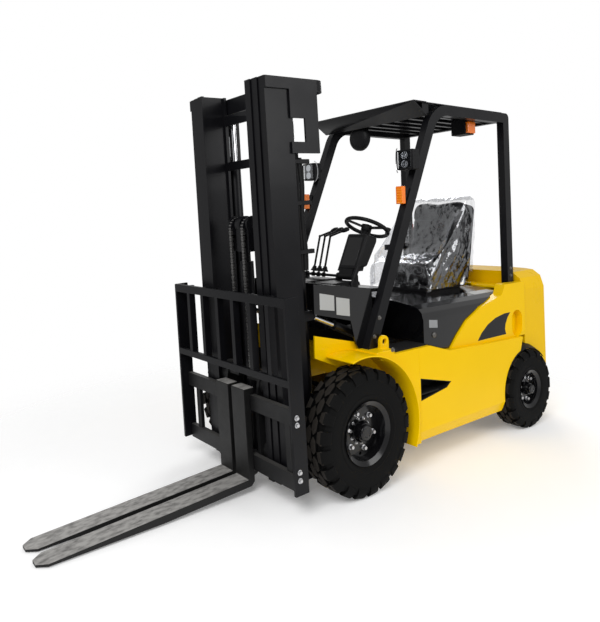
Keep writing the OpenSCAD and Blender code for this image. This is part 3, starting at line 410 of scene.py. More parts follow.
edges = {
    "frame": 0.006, "fenders": 0.005, "side_covers": 0.012, "counterweight": 0.02, "radiator_cover": 0.008,
    "cowl": 0.008, "console": 0.014, "column": 0.012, "hood": 0.009, "overhead_guard": 0.008, "lamps": 0.01,
    "mast_outer": 0.004, "mast_middle": 0.004, "mast_inner": 0.004, "carriage": 0.004, "backrest": 0.003,
    "fork_left": 0.004, "fork_right": 0.004, "crosshead": 0.003, "seat_base": 0.008, "controls": 0.003,
    "steps": 0.003, "front_axle": 0.006, "steer_axle": 0.006, "engine": 0.012, "roof_panel": 0.002,
    "lamp_lenses": 0.004, "signal_lenses": 0.004, "rear_lamps": 0.004, "grille": 0.002, "floor_plate": 0.003,
}
weld_gap, edge_angle = 0.0002, 32
for name, o in nodes.items():
    o.data.materials.clear()
    o.data.materials.append(looks.get(name, tread_rubber if name.startswith("tyre") else gloss_black))
    if name in edges:
        o.modifiers.new("weld", "WELD").merge_threshold = weld_gap
        b = o.modifiers.new("bevel", "BEVEL")
        b.width, b.segments, b.limit_method = edges[name], 3, "ANGLE"
        b.angle_limit = math.radians(edge_angle)

# Wheels: place from the front axle, sizes, tread blocks around, wheel nuts and hub bolts
Wheel = namedtuple("Wheel", "x y radius width rim hub blocks depth nuts bolts")
front_wheel = Wheel(0, 0.48, 0.334, 0.19, 0.158, 0.078, 21, 0.019, 6, 10)
rear_wheel = Wheel(-1.59, 0.493, 0.262, 0.154, 0.118, 0.058, 17, 0.015, 6, 6)
wheels = {"fl": (front_wheel, 1), "fr": (front_wheel, -1), "rl": (rear_wheel, 1), "rr": (rear_wheel, -1)}


def tyre(name, wheel, side):
    # A round carcass with hexagon blocks in the middle and lugs that wrap over the shoulders
    node, body = "tyre_" + name, "wheel_" + name
    p = Piece(node + "_tread")
    c = spot(wheel.x, side * wheel.y, wheel.radius)
    crown, rim, w = wheel.radius, wheel.rim, wheel.width
    h = crown - rim
    base = crown - wheel.depth
    half = [(rim + 0.001, 0.36), (rim + 0.05 * h, 0.405), (rim + 0.17 * h, 0.455), (rim + 0.21 * h, 0.470),
            (rim + 0.24 * h, 0.470), (rim + 0.26 * h, 0.460), (rim + 0.50 * h, 0.482),
            (rim + 0.70 * h, 0.474), (base - 0.07 * h, 0.445), (base - 0.015 * h, 0.40), (base, 0.34)]
    full = half + [(r, -y) for r, y in reversed(half)]
    p.lathe([(r, y * w) for r, y in full], c, across, 88, closed=True)

    def at(t, y, r):
        return c + Vector((math.cos(t) * r, y, math.sin(t) * r))

    def block(points, shrink=0.9, sunk=0.003, chamfer=0.003):
        mid_t = sum(t for t, y in points) / len(points)
        mid_y = sum(y for t, y in points) / len(points)
        top = [(mid_t + (t - mid_t) * shrink, mid_y + (y - mid_y) * shrink) for t, y in points]
        p.loft([[at(t, y, base - sunk) for t, y in points], [at(t, y, crown - chamfer) for t, y in points],
                [at(t, y, crown) for t, y in top]])

    def lug(t, s, half_wide):
        outline = [(base - 0.004, 0.225), (crown - 0.002, 0.232), (crown, 0.25), (crown, 0.375),
                   (crown - 0.006, 0.41), (crown - 0.055 * h - 0.008, 0.462), (crown - 0.20 * h, 0.494),
                   (crown - 0.30 * h, 0.494), (crown - 0.34 * h, 0.472), (crown - 0.20 * h, 0.42)]
        inner_points, inner_narrow = 3, 0.72
        rows = []
        for f, height in ((-1.0, 0.97), (-0.86, 1.0), (0.86, 1.0), (1.0, 0.97)):
            row = []
            for k, (r, y) in enumerate(outline):
                narrow = inner_narrow if k < inner_points else 1.0
                raised = base + (r - base) * height if r > base else r
                row.append(at(t + f * half_wide * narrow, s * y * w, raised))
            rows.append(row)
        p.loft(rows)

    pitch = 2 * math.pi / wheel.blocks
    for i in range(wheel.blocks):
        for s in (-1, 1):
            t = (i + (0.0 if s > 0 else 0.5)) * pitch
            y = s * 0.088 * w
            out, back = y + s * (0.098 * w), y - s * (0.082 * w)
            block([(t - 0.47 * pitch, y), (t - 0.26 * pitch, out), (t + 0.26 * pitch, out),
                   (t + 0.47 * pitch, y), (t + 0.24 * pitch, back), (t - 0.24 * pitch, back)])
            lug(t + 0.5 * pitch, s, (0.31 if i % 2 else 0.36) * pitch)
    o = p.done(tread_rubber, body, angle=28, slot="tyre_rubber")
    wear_depth, wear_half = 0.004, 0.40 * w
    wear = o.data.attributes.new("tread_wear", "FLOAT", "FACE")
    for f in o.data.polygons:
        q = f.center - c
        wear.data[f.index].value = float(math.hypot(q.x, q.z) > crown - wear_depth and abs(q.y) < wear_half)
    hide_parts(node)


def wheel_nuts(name, wheel, side):
    # Wheel nuts, hub bolts, hub cap and valve on the rim's outer face
    node, body = "rim_" + name, "wheel_" + name
    c = spot(wheel.x, side * wheel.y, wheel.radius)
    hub, start_y = wheel.hub, side * 0.3
    p = Piece(node + "_nuts")
    nuts = (wheel.nuts, hub + 0.021, 0.0115, 0.020)
    bolts = (wheel.bolts, hub * 0.84, 0.0065, 0.009)
    for number, radius, r, h in (nuts, bolts):
        for i in range(number):
            t = 2 * math.pi * (i + 0.25) / number
            p.bolt_on(node, c + Vector((math.cos(t) * radius, start_y, math.sin(t) * radius)), side, r, h)
    p.done(steel, body, slot="rod_chrome")
    p = Piece(node + "_hub")
    inward = (0, -side, 0)
    q = hit(node, c + Vector((0.01, start_y, 0.01)), inward)
    if q:
        cap = ((0.55, -0.001), (0.54, 0.013), (0.46, 0.019), (0.30, 0.020), (0.28, 0.017))
        p.lathe([(hub * share, h) for share, h in cap], (c.x, q.y, c.z), (0, side, 0), 32)
    valve_t, valve_r = 2.1, wheel.rim * 0.86
    q = hit(node, c + Vector((math.cos(valve_t) * valve_r, start_y, math.sin(valve_t) * valve_r)), inward)
    if q:
        bends = ((0, 0, 0), (0.004, side * 0.012, 0.003), (0.012, side * 0.030, 0.008))
        p.tube([q + Vector(bend) for bend in bends], 0.0045)
    p.done(gloss_black, body, bevel=0.0015)


for name, (wheel, side) in wheels.items():
    tyre(name, wheel, side)
for name, (wheel, side) in wheels.items():
    wheel_nuts(name, wheel, side)

# Leaf chains of the free lift, in the mast's frame
free_x, sheave_r, sheave_z, chain_y = 0.314, 0.055, 1.44, 0.058
link_pitch, link_r, link_half, link_gap, link_rows = 0.0159, 0.0066, 0.0016, 0.0038, 5
pin_r, pin_half = 0.0030, 0.0105


def chain(name, x, z0, z1):
    # Two strands of thin plates in turn, with a pin through each pitch
    p = Piece(name)
    n = round((z1 - z0) / link_pitch)
    step = (z1 - z0) / n
    angles = [math.pi * a / 4 for a in range(5)]
    top = [(math.cos(t) * link_r, step * 0.5 + math.sin(t) * link_r) for t in angles]
    outline = top + [(-u, -v) for u, v in top]
    for s in (-1, 1):
        for i in range(n):
            m = mast_frame(x, s * chain_y, z0 + (i + 0.5) * step)
            for k in range(link_rows):
                if k % 2 == i % 2:
                    y = (k - 2) * link_gap
                    p.loft([[m @ Vector((u, face, v)) for u, v in outline]
                            for face in (y - link_half, y + link_half)])
            pin_at = mast_spot(x, s * chain_y, z0 + i * step)
            p.lathe([(pin_r, -pin_half), (pin_r, pin_half)], pin_at, across, 6)
    return p.done(chain_oiled, None, angle=40, slot="chain_steel")


front_x, rear_x = free_x + sheave_r, free_x - sheave_r
o = chain("chain_front", front_x, 0.640, sheave_z)
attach(o, "free_rod")
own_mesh(o)
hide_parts("chains_front")
o = chain("chain_rear", rear_x, 0.200, sheave_z)
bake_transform(o)
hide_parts("chains_rear")

p = Piece("chain_wrap")
wrap = [(0.0066, -0.0095), (0.0066, -0.004), (0.0052, -0.003), (0.0052, 0.003), (0.0066, 0.004),
        (0.0066, 0.0095)]
wrap_links = 10
for s in (-1, 1):
    for i in range(wrap_links + 1):
        t = math.pi * i / wrap_links
        c = mast_spot(free_x + math.cos(t) * sheave_r, s * chain_y, sheave_z + math.sin(t) * sheave_r)
        p.lathe(wrap, c, across, 10)
p.done(chain_oiled, "free_rod", slot="chain_steel")


# Seat pads
def inflate(o):
    # Soft stuffing: a short cloth run with inner pressure, its movement capped
    voxel, pressure, last_frame, most = 0.006, 4, 20, 0.022
    work = bpy.data.objects.new(o.name + "_soft", o.data.copy())
    bpy.context.scene.collection.objects.link(work)
    bpy.context.view_layer.objects.active = work
    r = work.modifiers.new("remesh", "REMESH")
    r.mode, r.voxel_size = "VOXEL", voxel
    bpy.context.view_layer.update()
    mesh = bpy.data.meshes.new_from_object(work.evaluated_get(bpy.context.evaluated_depsgraph_get()))
    work.modifiers.clear()
    work.data = mesh
    before = [v.co.copy() for v in mesh.vertices]
    c = work.modifiers.new("cloth", "CLOTH")
    c.settings.use_pressure = True
    c.settings.uniform_pressure_force = pressure
    c.settings.effector_weights.gravity = 0
    c.settings.tension_stiffness = 25
    c.settings.bending_stiffness = 2
    c.point_cache.frame_start, c.point_cache.frame_end = 1, last_frame
    for f in range(1, last_frame + 1):
        bpy.context.scene.frame_set(f)
    done = work.evaluated_get(bpy.context.evaluated_depsgraph_get()).data
    after = [v.co.copy() for v in done.vertices]
    work.modifiers.clear()
    bpy.context.scene.frame_set(1)
    for v, a, b in zip(mesh.vertices, before, after):
        d = b - a
        if d.length > most:
            d *= most / d.length
        v.co = a + d
    mesh.polygons.foreach_set("use_smooth", [True] * len(mesh.polygons))
    mesh.materials.clear()
    mesh.materials.append(vinyl)
    o.data = mesh
    bpy.data.objects.remove(work)
    s = o.modifiers.new("soft", "SUBSURF")
    s.levels = s.render_levels = 1


def pad(name, m, size, corner, crown, channels):
    # A crowned cushion: rounded plan, domed top, soft edges and pressed channels across it
    length, width, h = size
    squareness, around, rows, steps = 2 / 6.0, 64, 9, 6
    channel_depth, channel_half = 0.010, 0.009
    p = Piece(name)
    plan = []
    for i in range(around):
        t = 2 * math.pi * i / around
        plan.append((math.copysign(abs(math.cos(t)) ** squareness, math.cos(t)) * length / 2,
                     math.copysign(abs(math.sin(t)) ** squareness, math.sin(t)) * width / 2))
    rings = []
    for k in range(rows):
        a = -math.pi / 2 + math.pi * k / (rows - 1)
        inset = (1 - math.cos(a)) * corner
        z = h / 2 + math.sin(a) * h / 2
        rings.append([(u * (1 - 2 * inset / length), v * (1 - 2 * inset / width), z) for u, v in plan])
    made = p.loft([[m @ Vector(q) for q in r] for r in rings], caps=False)
    for end, z, rise in ((0, 0, 0.0), (-1, h, crown)):
        last = made[end]
        for k in range(1, steps):
            f = 1 - k / steps
            ring = p.ring([m @ Vector((q[0] * f, q[1] * f, z + rise * (1 - f * f))) for q in rings[end]])
            p.bridge(last, ring)
            last = ring
        p.bm.faces.new(last)
    o = p.done(vinyl, None, angle=180, slot="seat_vinyl")
    inflate(o)
    inverse = m.inverted()
    for v in o.data.vertices:
        q = inverse @ v.co
        if q.z > h * 0.45:
            dip = 0.0
            for c in channels:
                dip += channel_depth * math.exp(-(abs(q.x - c) / channel_half) ** 2)
            v.co = m @ Vector((q.x, q.y, q.z - dip))
    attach(o, "hood_lid")
    return o


lo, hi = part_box("seat_cushion")
seat_place = Matrix.Translation(Vector(((lo[0] + hi[0]) / 2, 0, lo[2])))
seat_size = (hi[0] - lo[0] - 0.02, hi[1] - lo[1] - 0.02, hi[2] - lo[2] - 0.012)
cushion = pad("seat_cushion_pad", seat_place, seat_size, 0.035, 0.022, (-0.08, 0.08))
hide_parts("seat_cushion")

# The back shell stands behind the cushion: seat middle, half its length, a gap, and the shell's foot
back_lean = math.radians(10.6)
seat_x, seat_half_len, shell_gap, shell_foot = -1.166, 0.206, 0.004, 0.030
shell = spot(seat_x - seat_half_len - shell_gap, 0, hood_top + shell_foot)
back_place = Matrix.Translation(shell) @ Matrix.Rotation(-back_lean, 4, "Y")
back_place = back_place @ Matrix.Translation((0.001, 0, 0.368))
back_place = back_place @ Matrix.Rotation(math.pi / 2, 4, "Y")
back_size = (0.425, 0.465, 0.084)
backrest = pad("seat_back_pad", back_place, back_size, 0.030, 0.016, (-0.07, 0.07))
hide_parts("seat_back")


# Loose clear film drawn over the new seat as one sheet
def between(value, start, span):
    return max(0.0, min(1.0, (value - start) / span))


def along(path, count):
    # Even steps along a smooth line through side view points
    per_stretch = 24
    pts = [Vector((x, 0, z)) for x, z in path]
    fine = []
    for i in range(len(pts) - 1):
        a, b, c, d = pts[max(0, i - 1)], pts[i], pts[i + 1], pts[min(len(pts) - 1, i + 2)]
        for j in range(per_stretch):
            t = j / per_stretch
            fine.append(0.5 * (2 * b + (c - a) * t + (2 * a - 5 * b + 4 * c - d) * t * t
                               + (3 * b - a - 3 * c + d) * t ** 3))
    fine.append(pts[-1])
    run = [0.0]
    for p, q in zip(fine, fine[1:]):
        run.append(run[-1] + (q - p).length)
    out = []
    k = 0
    for i in range(count + 1):
        d = run[-1] * i / count
        while k < len(run) - 2 and run[k + 1] < d:
            k += 1
        out.append(fine[k].lerp(fine[k + 1], (d - run[k]) / max(1e-9, run[k + 1] - run[k])))
    return out


def on_back(x, z):
    # Side view place of a point in the leaned frame of the back shell
    q = shell + Vector((x * math.cos(back_lean) - z * math.sin(back_lean), 0,
                        x * math.sin(back_lean) + z * math.cos(back_lean)))
    return q.x, q.z


film_rows, film_columns = 130, 120


def film_points():
    # The sheet without creases: over the seat in the middle, taut at its sides, then hanging down
    half_width, arm_room, top_share, tautness = 0.241, 0.053, 0.52, 0.85
    rear_limit = spot(-1.42, 0, 0).x
    lip = spot(-0.952, 0, 0).x
    seat_middle = spot(-1.14, 0, 0).x
    top = hood_top + 0.160
    rear = [on_back(0.004, 0.582), on_back(0.035, 0.591), on_back(0.080, 0.588)]
    front = [(lip - 0.03, top + 0.022), (lip + 0.004, top - 0.012), (lip + 0.010, hood_top + 0.020)]
    seat = along(rear + [on_back(0.122, 0.52), on_back(0.128, 0.34), on_back(0.17, 0.20),
                         (seat_middle, top + 0.035)] + front, film_rows)
    taut = along(rear + [on_back(0.135, 0.50)] + front, film_rows)
    hem, hem_wave, rear_rise, rear_share = hood_top + 0.022, 0.016, 0.10, 0.20
    points = []
    for i in range(film_rows + 1):
        row = []
        for k in range(film_columns + 1):
            v = k / film_columns * 2 - 1
            side = 1 if v > 0 else -1
            f = min(1.0, abs(v) / top_share)
            half = half_width
            if side < 0:
                half += arm_room * between(taut[i].z - hood_top, 0.19, 0.05)
            q = seat[i].lerp(taut[i], tautness * f ** 5)
            q.y = side * half * f
            if abs(v) > top_share:
                t = (abs(v) - top_share) / (1 - top_share)
                low = hem + hem_wave * noise.noise(Vector((i * 0.05, side, 0)))
                if i < film_rows * rear_share:
                    low += rear_rise * (1 - i / (film_rows * rear_share))
                foot = Vector((max(q.x, rear_limit), side * (half + 0.006), min(low, q.z - 0.02)))
                q = q.lerp(foot, t)
                q.y += side * 0.008 * math.sin(math.pi * min(1, t * 1.3))
            row.append(q)
        points.append(row)
    return points


def film():
    # Long creases run from the back's top to the cushion's front, with fine crumples over them
    base = film_points()
    slope, cross_slope = Vector((0.686, 0, -0.727)), Vector((0.727, 0, 0.686))
    clearance, long_depth, fine_depth, top_depth = 0.003, 0.007, 0.003, 0.006
    last_row, last_column = film_rows, film_columns
    p = Piece("seat_film")
    grid = []
    for i in range(film_rows + 1):
        row = []
        for k in range(film_columns + 1):
            q = base[i][k]
            du = base[min(last_row, i + 1)][k] - base[max(0, i - 1)][k]
            dv = base[i][min(last_column, k + 1)] - base[i][max(0, k - 1)]
            n = dv.cross(du)
            n = n.normalized() if n.length > 1e-9 else Vector((0, 0, 1))
            lie = Vector((q.dot(slope) * 2.0, q.dot(cross_slope) * 13, q.y * 5 + 3))
            long = noise.ridged_multi_fractal(lie, 0.9, 2.0, 3, 1.0, 2.0)
            crumple = noise.ridged_multi_fractal(q * 15 + Vector((3.7, 0, 0)), 0.8, 2.2, 4, 1.0, 2.0)
            w = between(i / film_rows, 0.04, 0.12)
            push = clearance + w * (long_depth * long + fine_depth * crumple) + (1 - w) * top_depth * crumple
            row.append(p.bm.verts.new(q - n * push))
        grid.append(row)
    for i in range(film_rows):
        for k in range(film_columns):
            p.bm.faces.new((grid[i][k], grid[i + 1][k], grid[i + 1][k + 1], grid[i][k + 1]))
    o = p.done(film_mat, "hood_lid", angle=30, slot="clear_panel")


film()

# Bare plates where the photograph has labels on the cowl's side
dash_y = 0.4002
p = Piece("dash_plates")
for corners in (((0.165, 0.985), (0.060, 0.968), (0.060, 1.050), (0.165, 1.072)),
                ((0.045, 0.945), (-0.055, 0.925), (-0.055, 1.020), (0.045, 1.040))):
    p.slab([spot(x, dash_y, z) for x, z in corners], -plate_t)
p.done(pale, "chassis")

# Dark inset on each side cover
cover_y = 0.5082
upper = [(-1.075, 0.655), (-1.12, 0.70), (-1.19, 0.745), (-1.28, 0.778), (-1.385, 0.795), (-1.455, 0.795)]
lower = [(-1.42, 0.762), (-1.395, 0.722), (-1.388, 0.690), (-1.40, 0.655)]
for s, name in zip(sides, ("swoosh_left", "swoosh_right")):
    p = Piece(name)
    p.slab([spot(x, s * cover_y, z) for x, z in upper + lower], plate_t)
    p.done(gloss_black, "chassis")

# Headlamps: reflectors behind the lens, a rim and cooling fins, and a wire guard
lamp_lo, lamp_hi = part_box("lamp_lenses")
lamp_x, lamp_y, lamp_z = lamp_hi[0], lamp_hi[1] - 0.048, (lamp_lo[2] + lamp_hi[2]) / 2
bowl = [(0.004, 0.001), (0.012, 0.003), (0.022, 0.010), (0.0235, 0.0115), (0.022, 0.0118), (0.010, 0.0105)]
rim = [(-0.049, -0.054), (0.049, -0.054), (0.053, -0.048), (0.053, 0.048), (0.049, 0.054), (-0.049, 0.054),
       (-0.053, 0.048), (-0.053, -0.048)]
fin_half_y, fin_half_z, fin_step = 0.056, 0.003, 0.0225
reflectors = Piece("lamp_reflectors")
rims = Piece("lamp_rims")
guards = Piece("lamp_guards")
for s in sides:
    y = s * lamp_y
    for dz in (-0.026, 0.026):
        reflectors.lathe(bowl, Vector((lamp_x - 0.012, y, lamp_z + dz)), forward, 24)
    rims.tube([(lamp_x + 0.002, y + dy, lamp_z + dz) for dy, dz in rim], 0.0045, 8, closed=True)
    for i in range(5):
        z = lamp_z - 0.045 + i * fin_step
        rims.box((lamp_x - 0.066, y - fin_half_y, z - fin_half_z),
                 (lamp_x - 0.030, y + fin_half_y, z + fin_half_z))
    loop = []
    for i in range(17):
        t = math.pi * i / 16
        loop.append((lamp_x - 0.006 - 0.012 * math.sin(t), y - s * fin_half_y - s * 0.022 * math.sin(t),
                     lamp_z - 0.072 * math.cos(t)))
    guards.tube(loop, 0.003, 8)
reflectors.done(reflector, "chassis", slot="lamp_glass")
rims.done(plastic, "chassis")
guards.done(steel, "chassis")

# Dots on the turn signal lenses
dot = [(0.0042, -0.0005), (0.0034, 0.0012), (0.0012, 0.0022)]
dot_y, dot_z, dot_step_y, dot_step_z = 0.400 + 0.012, 1.545, 0.0105, 0.0155
p = Piece("signal_dots")
for s in sides:
    for column in range(4):
        for row in range(6):
            start = spot(0.2, s * (dot_y + column * dot_step_y), dot_z + row * dot_step_z)
            q = hit("signal_lenses", start, backward)
            if q:
                p.lathe(dot, q, forward, 8)
p.done(amber, "chassis", slot="amber")

# Mirror glass and the dome behind it
lo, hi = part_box("rear_mirror")
mirror_y, mirror_depth = -0.165, 0.022
c = Vector((lo[0], mirror_y, (lo[2] + hi[2]) / 2))
r = (hi[2] - lo[2]) / 2
p = Piece("mirror_glass")
p.lathe([(r * 0.9, -0.001), (r * 0.9, 0.002), (r * 0.6, 0.006), (r * 0.3, 0.008), (0.002, 0.0085)],
        c, backward)
p.done(reflector, "chassis", angle=50)
p = Piece("mirror_back")
p.lathe([(r, -0.001), (r * 0.94, 0.010), (r * 0.75, 0.020), (r * 0.4, 0.027), (0.002, 0.029)],
        c + Vector((mirror_depth, 0, 0)), forward)
p.done(plastic, "chassis", angle=50)

# Bolts on the load backrest, the wheel arches and the guard's feet
p = Piece("side_bolts")
for s in sides:
    for z in (0.529, 0.494, 0.264, 0.224):
        p.bolt_on("backrest", mast_spot(0.46, s * ray_y, z), s, 0.010, 0.012)
p.done(steel, "fork_carriage", slot="rod_chrome")
p = Piece("arch_bolts")
for s in sides:
    p.bolt_on("fenders", spot(-0.232, s * ray_y, 0.735), s, 0.009, 0.012)
    for x, z in ((-0.19, 0.80), (-0.235, 0.90), (-1.572, 1.03), (-1.572, 1.08)):
        p.bolt_on("overhead_guard", spot(x, s * ray_y, z), s, 0.009, 0.010)
p.done(dull_steel, "chassis")

# Ribs on the entry mats, the steps and the floor plate
mat_low, mat_high, step_low, step_high, floor_low, floor_high = 0.7158, 0.7185, 0.4418, 0.4450, 0.7098, 0.7125
p = Piece("mat_ribs")
for s in sides:
    for i in range(9):
        y = s * (0.385 + i * 0.0145)
        y0, y1 = sorted((y, y + s * 0.006))
        p.box((spot(-0.545, 0, 0).x, y0, mat_low), (spot(-0.28, 0, 0).x, y1, mat_high))
    for i in range(9):
        x = spot(-0.63 + i * 0.018, 0, 0).x
        y0, y1 = sorted((s * 0.445, s * 0.528))
        p.box((x, y0, step_low), (x + 0.007, y1, step_high))
for i in range(17):
    y = -0.27 + i * 0.033
    p.box((spot(-0.54, 0, 0).x, y, floor_low), (spot(-0.27, 0, 0).x, y + 0.010, floor_high))
p.done(mat_rubber, "chassis", slot="mat_rubber")

# Bare plates and the latch on the bonnet, whose top slopes off towards its sides
hood_y = 0.496
p = Piece("hood_label")
corners = ((-0.612, 0.800), (-0.690, 0.790), (-0.690, 0.836), (-0.612, 0.846))
p.slab([spot(x, hood_y + 0.0002, z) for x, z in corners], -plate_t)
p.done(grey_plate, "hood_lid")
slope_start, slope_width, slope_drop = 0.18, 0.236, 0.025
p = Piece("hood_edge_label")
p.slab([spot(x, y, hood_top + 0.0003 - slope_drop * (y - slope_start) / slope_width)
        for x, y in ((-1.20, 0.345), (-1.44, 0.345), (-1.44, 0.412), (-1.20, 0.412))], -plate_t)
p.done(pale, "hood_lid")
p = Piece("hood_latch")
p.lathe([(0.016, -0.001), (0.016, 0.006), (0.012, 0.009), (0.006, 0.0095)], spot(-0.652, hood_y, 0.752),
        across, 24)
p.box(spot(-0.655, 0.503, 0.740), spot(-0.649, 0.5075, 0.764))
p.done(dull_steel, "hood_lid", bevel=0.001)

# Lever knobs and boots
knob = [(0.008, 0.11), (0.0135, 0.125), (0.0165, 0.150), (0.0145, 0.172), (0.006, 0.178)]
boot = [(0.024, -0.004), (0.022, 0.006), (0.017, 0.008), (0.018, 0.016), (0.013, 0.019), (0.014, 0.027),
        (0.009, 0.030)]
p = Piece("lever_knobs")
for i in range(3):
    y = -0.215 - 0.052 * i
    p.lathe(knob, spot(-0.512, y, 1.346), (-0.968, 0, 0.248), 20)
    p.lathe(boot, spot(-0.450, y, 1.1155), (-0.247, 0, 0.969), 20)
p.done(plastic, "steer_column", angle=50)

# Grip of the parking brake, hub of the steering wheel, cover and display of its column
p = Piece("brake_grip")
p.lathe([(0.0108, 0.055), (0.0135, 0.065), (0.0145, 0.10), (0.0130, 0.145), (0.0145, 0.150), (0.010, 0.158)],
        spot(-0.38, 0.09, 1.03), (-0.5, 0, 0.866), 18)
p.done(plastic, "chassis", angle=50)
p = Piece("wheel_hub_cap")
column_lean = Matrix.Rotation(math.radians(-28), 4, "Y").to_3x3()
p.lathe([(0.036, 0.141), (0.038, 0.149), (0.030, 0.156), (0.004, 0.158)], spot(-0.575, 0, 1.275),
        column_lean @ Vector((0, 0, 1)), 28)
p.done(gloss_black, "steer_column", angle=50)
cover_half, display_half = 0.086, 0.060
p = Piece("column_cover")
profile = [(-0.440, 1.135), (-0.549, 1.362), (-0.646, 1.332), (-0.640, 1.300), (-0.545, 1.150)]
p.loft([[spot(x, y, z) for x, z in profile] for y in (-cover_half, cover_half)])
p.done(plastic, "steer_column", bevel=0.014, segments=3)
p = Piece("dash_display")
low, high = (-0.4515, 1.160), (-0.5365, 1.337)
corners = ((-1, low), (1, low), (1, high), (-1, high))
p.slab([spot(x, side * display_half, z) for side, (x, z) in corners], -0.003)
p.done(gloss_black, "steer_column", bevel=0.001)

# Upright wires behind the rear grille
lo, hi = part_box("grille")
wire_inset_x, wire_inset_y, wire_inset_z, wire_gaps = 0.004, 0.012, 0.006, 17
p = Piece("grille_mesh")
for i in range(wire_gaps + 1):
    x, y = hi[0] - wire_inset_x, lo[1] + wire_inset_y + i * (hi[1] - lo[1] - 2 * wire_inset_y) / wire_gaps
    p.tube([(x, y, lo[2] + wire_inset_z), (x, y, hi[2] - wire_inset_z)], 0.0018, 6)
p.done(dull_steel, "chassis")

# Hoses on the inner stage, and a bundle with clamps beside the outer stage
p = Piece("mast_hoses")
for y in (0.105, 0.122):
    p.tube([mast_spot(0.300, y, z / 100) for z in range(70, 146, 4)], 0.0075)
p.done(mat_rubber, "inner_stage")
p = Piece("mast_hose_bundle")
for x, y in ((0.196, 0.338), (0.176, 0.342), (0.158, 0.334)):
    p.tube([mast_spot(x + 0.004 * math.sin(z * 0.9), y + 0.003 * math.cos(z * 0.7 + x * 90), z / 20)
            for z in range(24, 37)], 0.0085)
p.done(mat_rubber, "outer_stage")
p = Piece("mast_hose_clamps")
for z in (1.30, 1.56, 1.78):
    p.box((-0.074, -0.014, -0.012), (0.036, 0.014, 0.012), mast_frame(0.184, 0.338, z))
p.done(plastic, "outer_stage", bevel=0.003)

# Thin liner over each rear wheel, clear of the tyre when it steers about its kingpin
liner_gap, liner_t = 0.005, 0.002
liner_y, liner_step, liner_columns, liner_rows = 0.405, 0.0175, 9, 25
sweep = math.hypot(rear_wheel.radius, rear_axle.y - king.y + rear_wheel.width * 0.40) + liner_gap


def arch(r, s):
    rows = []
    for i in range(liner_rows):
        t = math.radians(-48 + 4 * i)
        row = []
        for k in range(liner_columns):
            y = liner_y + liner_step * k
            g = math.sqrt(r * r - (y - king.y) ** 2)
            row.append(Vector((rear_axle.x + math.sin(t) * g, s * y, rear_axle.z + math.cos(t) * g)))
        rows.append(row)
    return rows


p = Piece("rear_arch_liner")
for s in sides:
    p.loft([under + over[::-1] for under, over in zip(arch(sweep, s), arch(sweep + liner_t, s))])
p.done(plastic, "chassis", angle=50)

# Pale floor that fades into the white backdrop
floor_half, fade_start, fade_end, floor_glow = 30, 1.4, 3.2, 0.16
bm = bmesh.new()
for x, y in ((-1, -1), (1, -1), (1, 1), (-1, 1)):
    bm.verts.new((x * floor_half, y * floor_half, 0))
bm.faces.new(bm.verts)
mesh = bpy.data.meshes.new("floor")
bm.to_mesh(mesh)
bm.free()
floor = bpy.data.objects.new("floor", mesh)
bpy.context.scene.collection.objects.link(floor)
pale_floor = surface("floor_paint", (0.94, 0.94, 0.94), rough=0.7, vary=0.01, bump=0.01)
tree = pale_floor.node_tree
n, k = tree.nodes, tree.links
n["Principled BSDF"].inputs["Emission Color"].default_value = (1, 1, 1, 1)
n["Principled BSDF"].inputs["Emission Strength"].default_value = floor_glow
far = n.new("ShaderNodeVectorMath")
far.operation = "LENGTH"
k.new(object_coords(tree), far.inputs[0])
fade = remap(tree, far.outputs["Value"], (fade_start, fade_end))
fade.node.interpolation_type = "SMOOTHSTEP"
gone = n.new("ShaderNodeMixShader")
k.new(fade, gone.inputs[0])
k.new(n["Principled BSDF"].outputs[0], gone.inputs[1])
k.new(n.new("ShaderNodeBsdfTransparent").outputs[0], gone.inputs[2])
k.new(gone.outputs[0], n["Material Output"].inputs["Surface"])
mesh.materials.append(pale_floor)

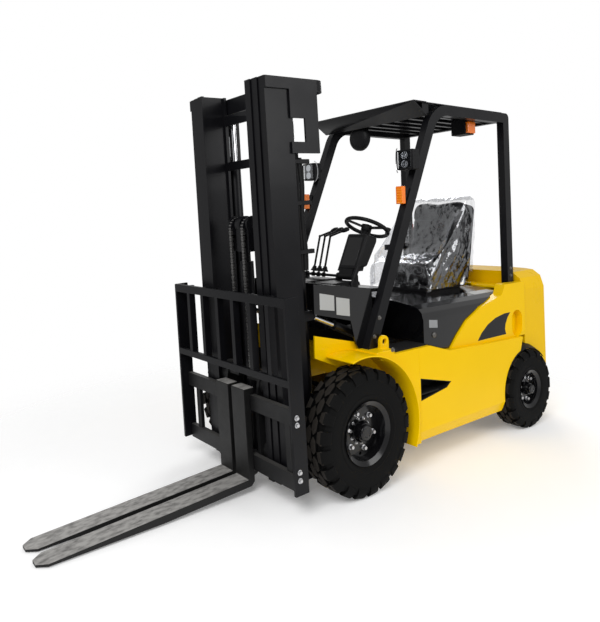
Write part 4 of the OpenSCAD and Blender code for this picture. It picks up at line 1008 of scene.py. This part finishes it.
# White studio that lights the part at half the strength of its backdrop
world = bpy.data.worlds.new("studio")
bpy.context.scene.world = world
world.use_nodes = True
tree = world.node_tree
backdrop = tree.nodes["Background"]
backdrop.inputs["Color"].default_value = (1, 1, 1, 1)
path = tree.nodes.new("ShaderNodeLightPath")
seen = math_on(tree, "MAXIMUM")
tree.links.new(path.outputs["Is Camera Ray"], seen.inputs[0])
tree.links.new(path.outputs["Is Transmission Ray"], seen.inputs[1])
tree.links.new(remap(tree, seen.outputs[0], wanted=(0.5, 1.0)), backdrop.inputs["Strength"])


def area(name, at, look, size, power):
    d = bpy.data.lights.new(name, "AREA")
    d.shape, d.size, d.size_y, d.energy = "RECTANGLE", size[0], size[1], power
    o = bpy.data.objects.new(name, d)
    o.location = at
    o.rotation_euler = (Vector(look) - Vector(at)).to_track_quat("-Z", "Y").to_euler()
    bpy.context.scene.collection.objects.link(o)


area("key", (4.5, 3.0, 5.0), (0, 0, 0.8), (3.0, 3.0), 250)
area("side", (-2.5, 5.5, 3.2), (-0.6, 0, 0.8), (3.5, 2.5), 105)
area("rear", (-4.5, -3.5, 4.0), (0, 0, 1.0), (3.0, 3.0), 110)

# Camera solved from the photograph, in pixels and in metres, with the front axle's place in that solve
photo_w, photo_h = 600, 622
camera_at = Vector((2.556996, 2.729585, 1.467910))
camera_forward = Vector((-0.582949, -0.812476, -0.007287))
camera_right = Vector((-0.811903, 0.582837, -0.033368))
camera_up = Vector((-0.031358, 0.013536, 0.999417))
focal_px, middle_x_px, middle_y_px, solved_axle_x = 593.279, 247.562, 225.169, 0.2686
sensor = 24
cam = bpy.data.cameras.new("camera")
cam.sensor_fit, cam.sensor_height = "VERTICAL", sensor
cam.lens = focal_px / photo_h * sensor
cam.shift_x = (photo_w / 2 - middle_x_px) / photo_h
cam.shift_y = (middle_y_px - photo_h / 2) / photo_h
eye = bpy.data.objects.new("camera", cam)
view = Matrix((camera_right, camera_up, -camera_forward)).transposed().to_4x4()
view.translation = camera_at + Vector((axle.x - solved_axle_x, 0, 0))
eye.matrix_world = view
bpy.context.scene.collection.objects.link(eye)
bpy.context.scene.camera = eye
bpy.context.scene.view_settings.view_transform = "Standard"
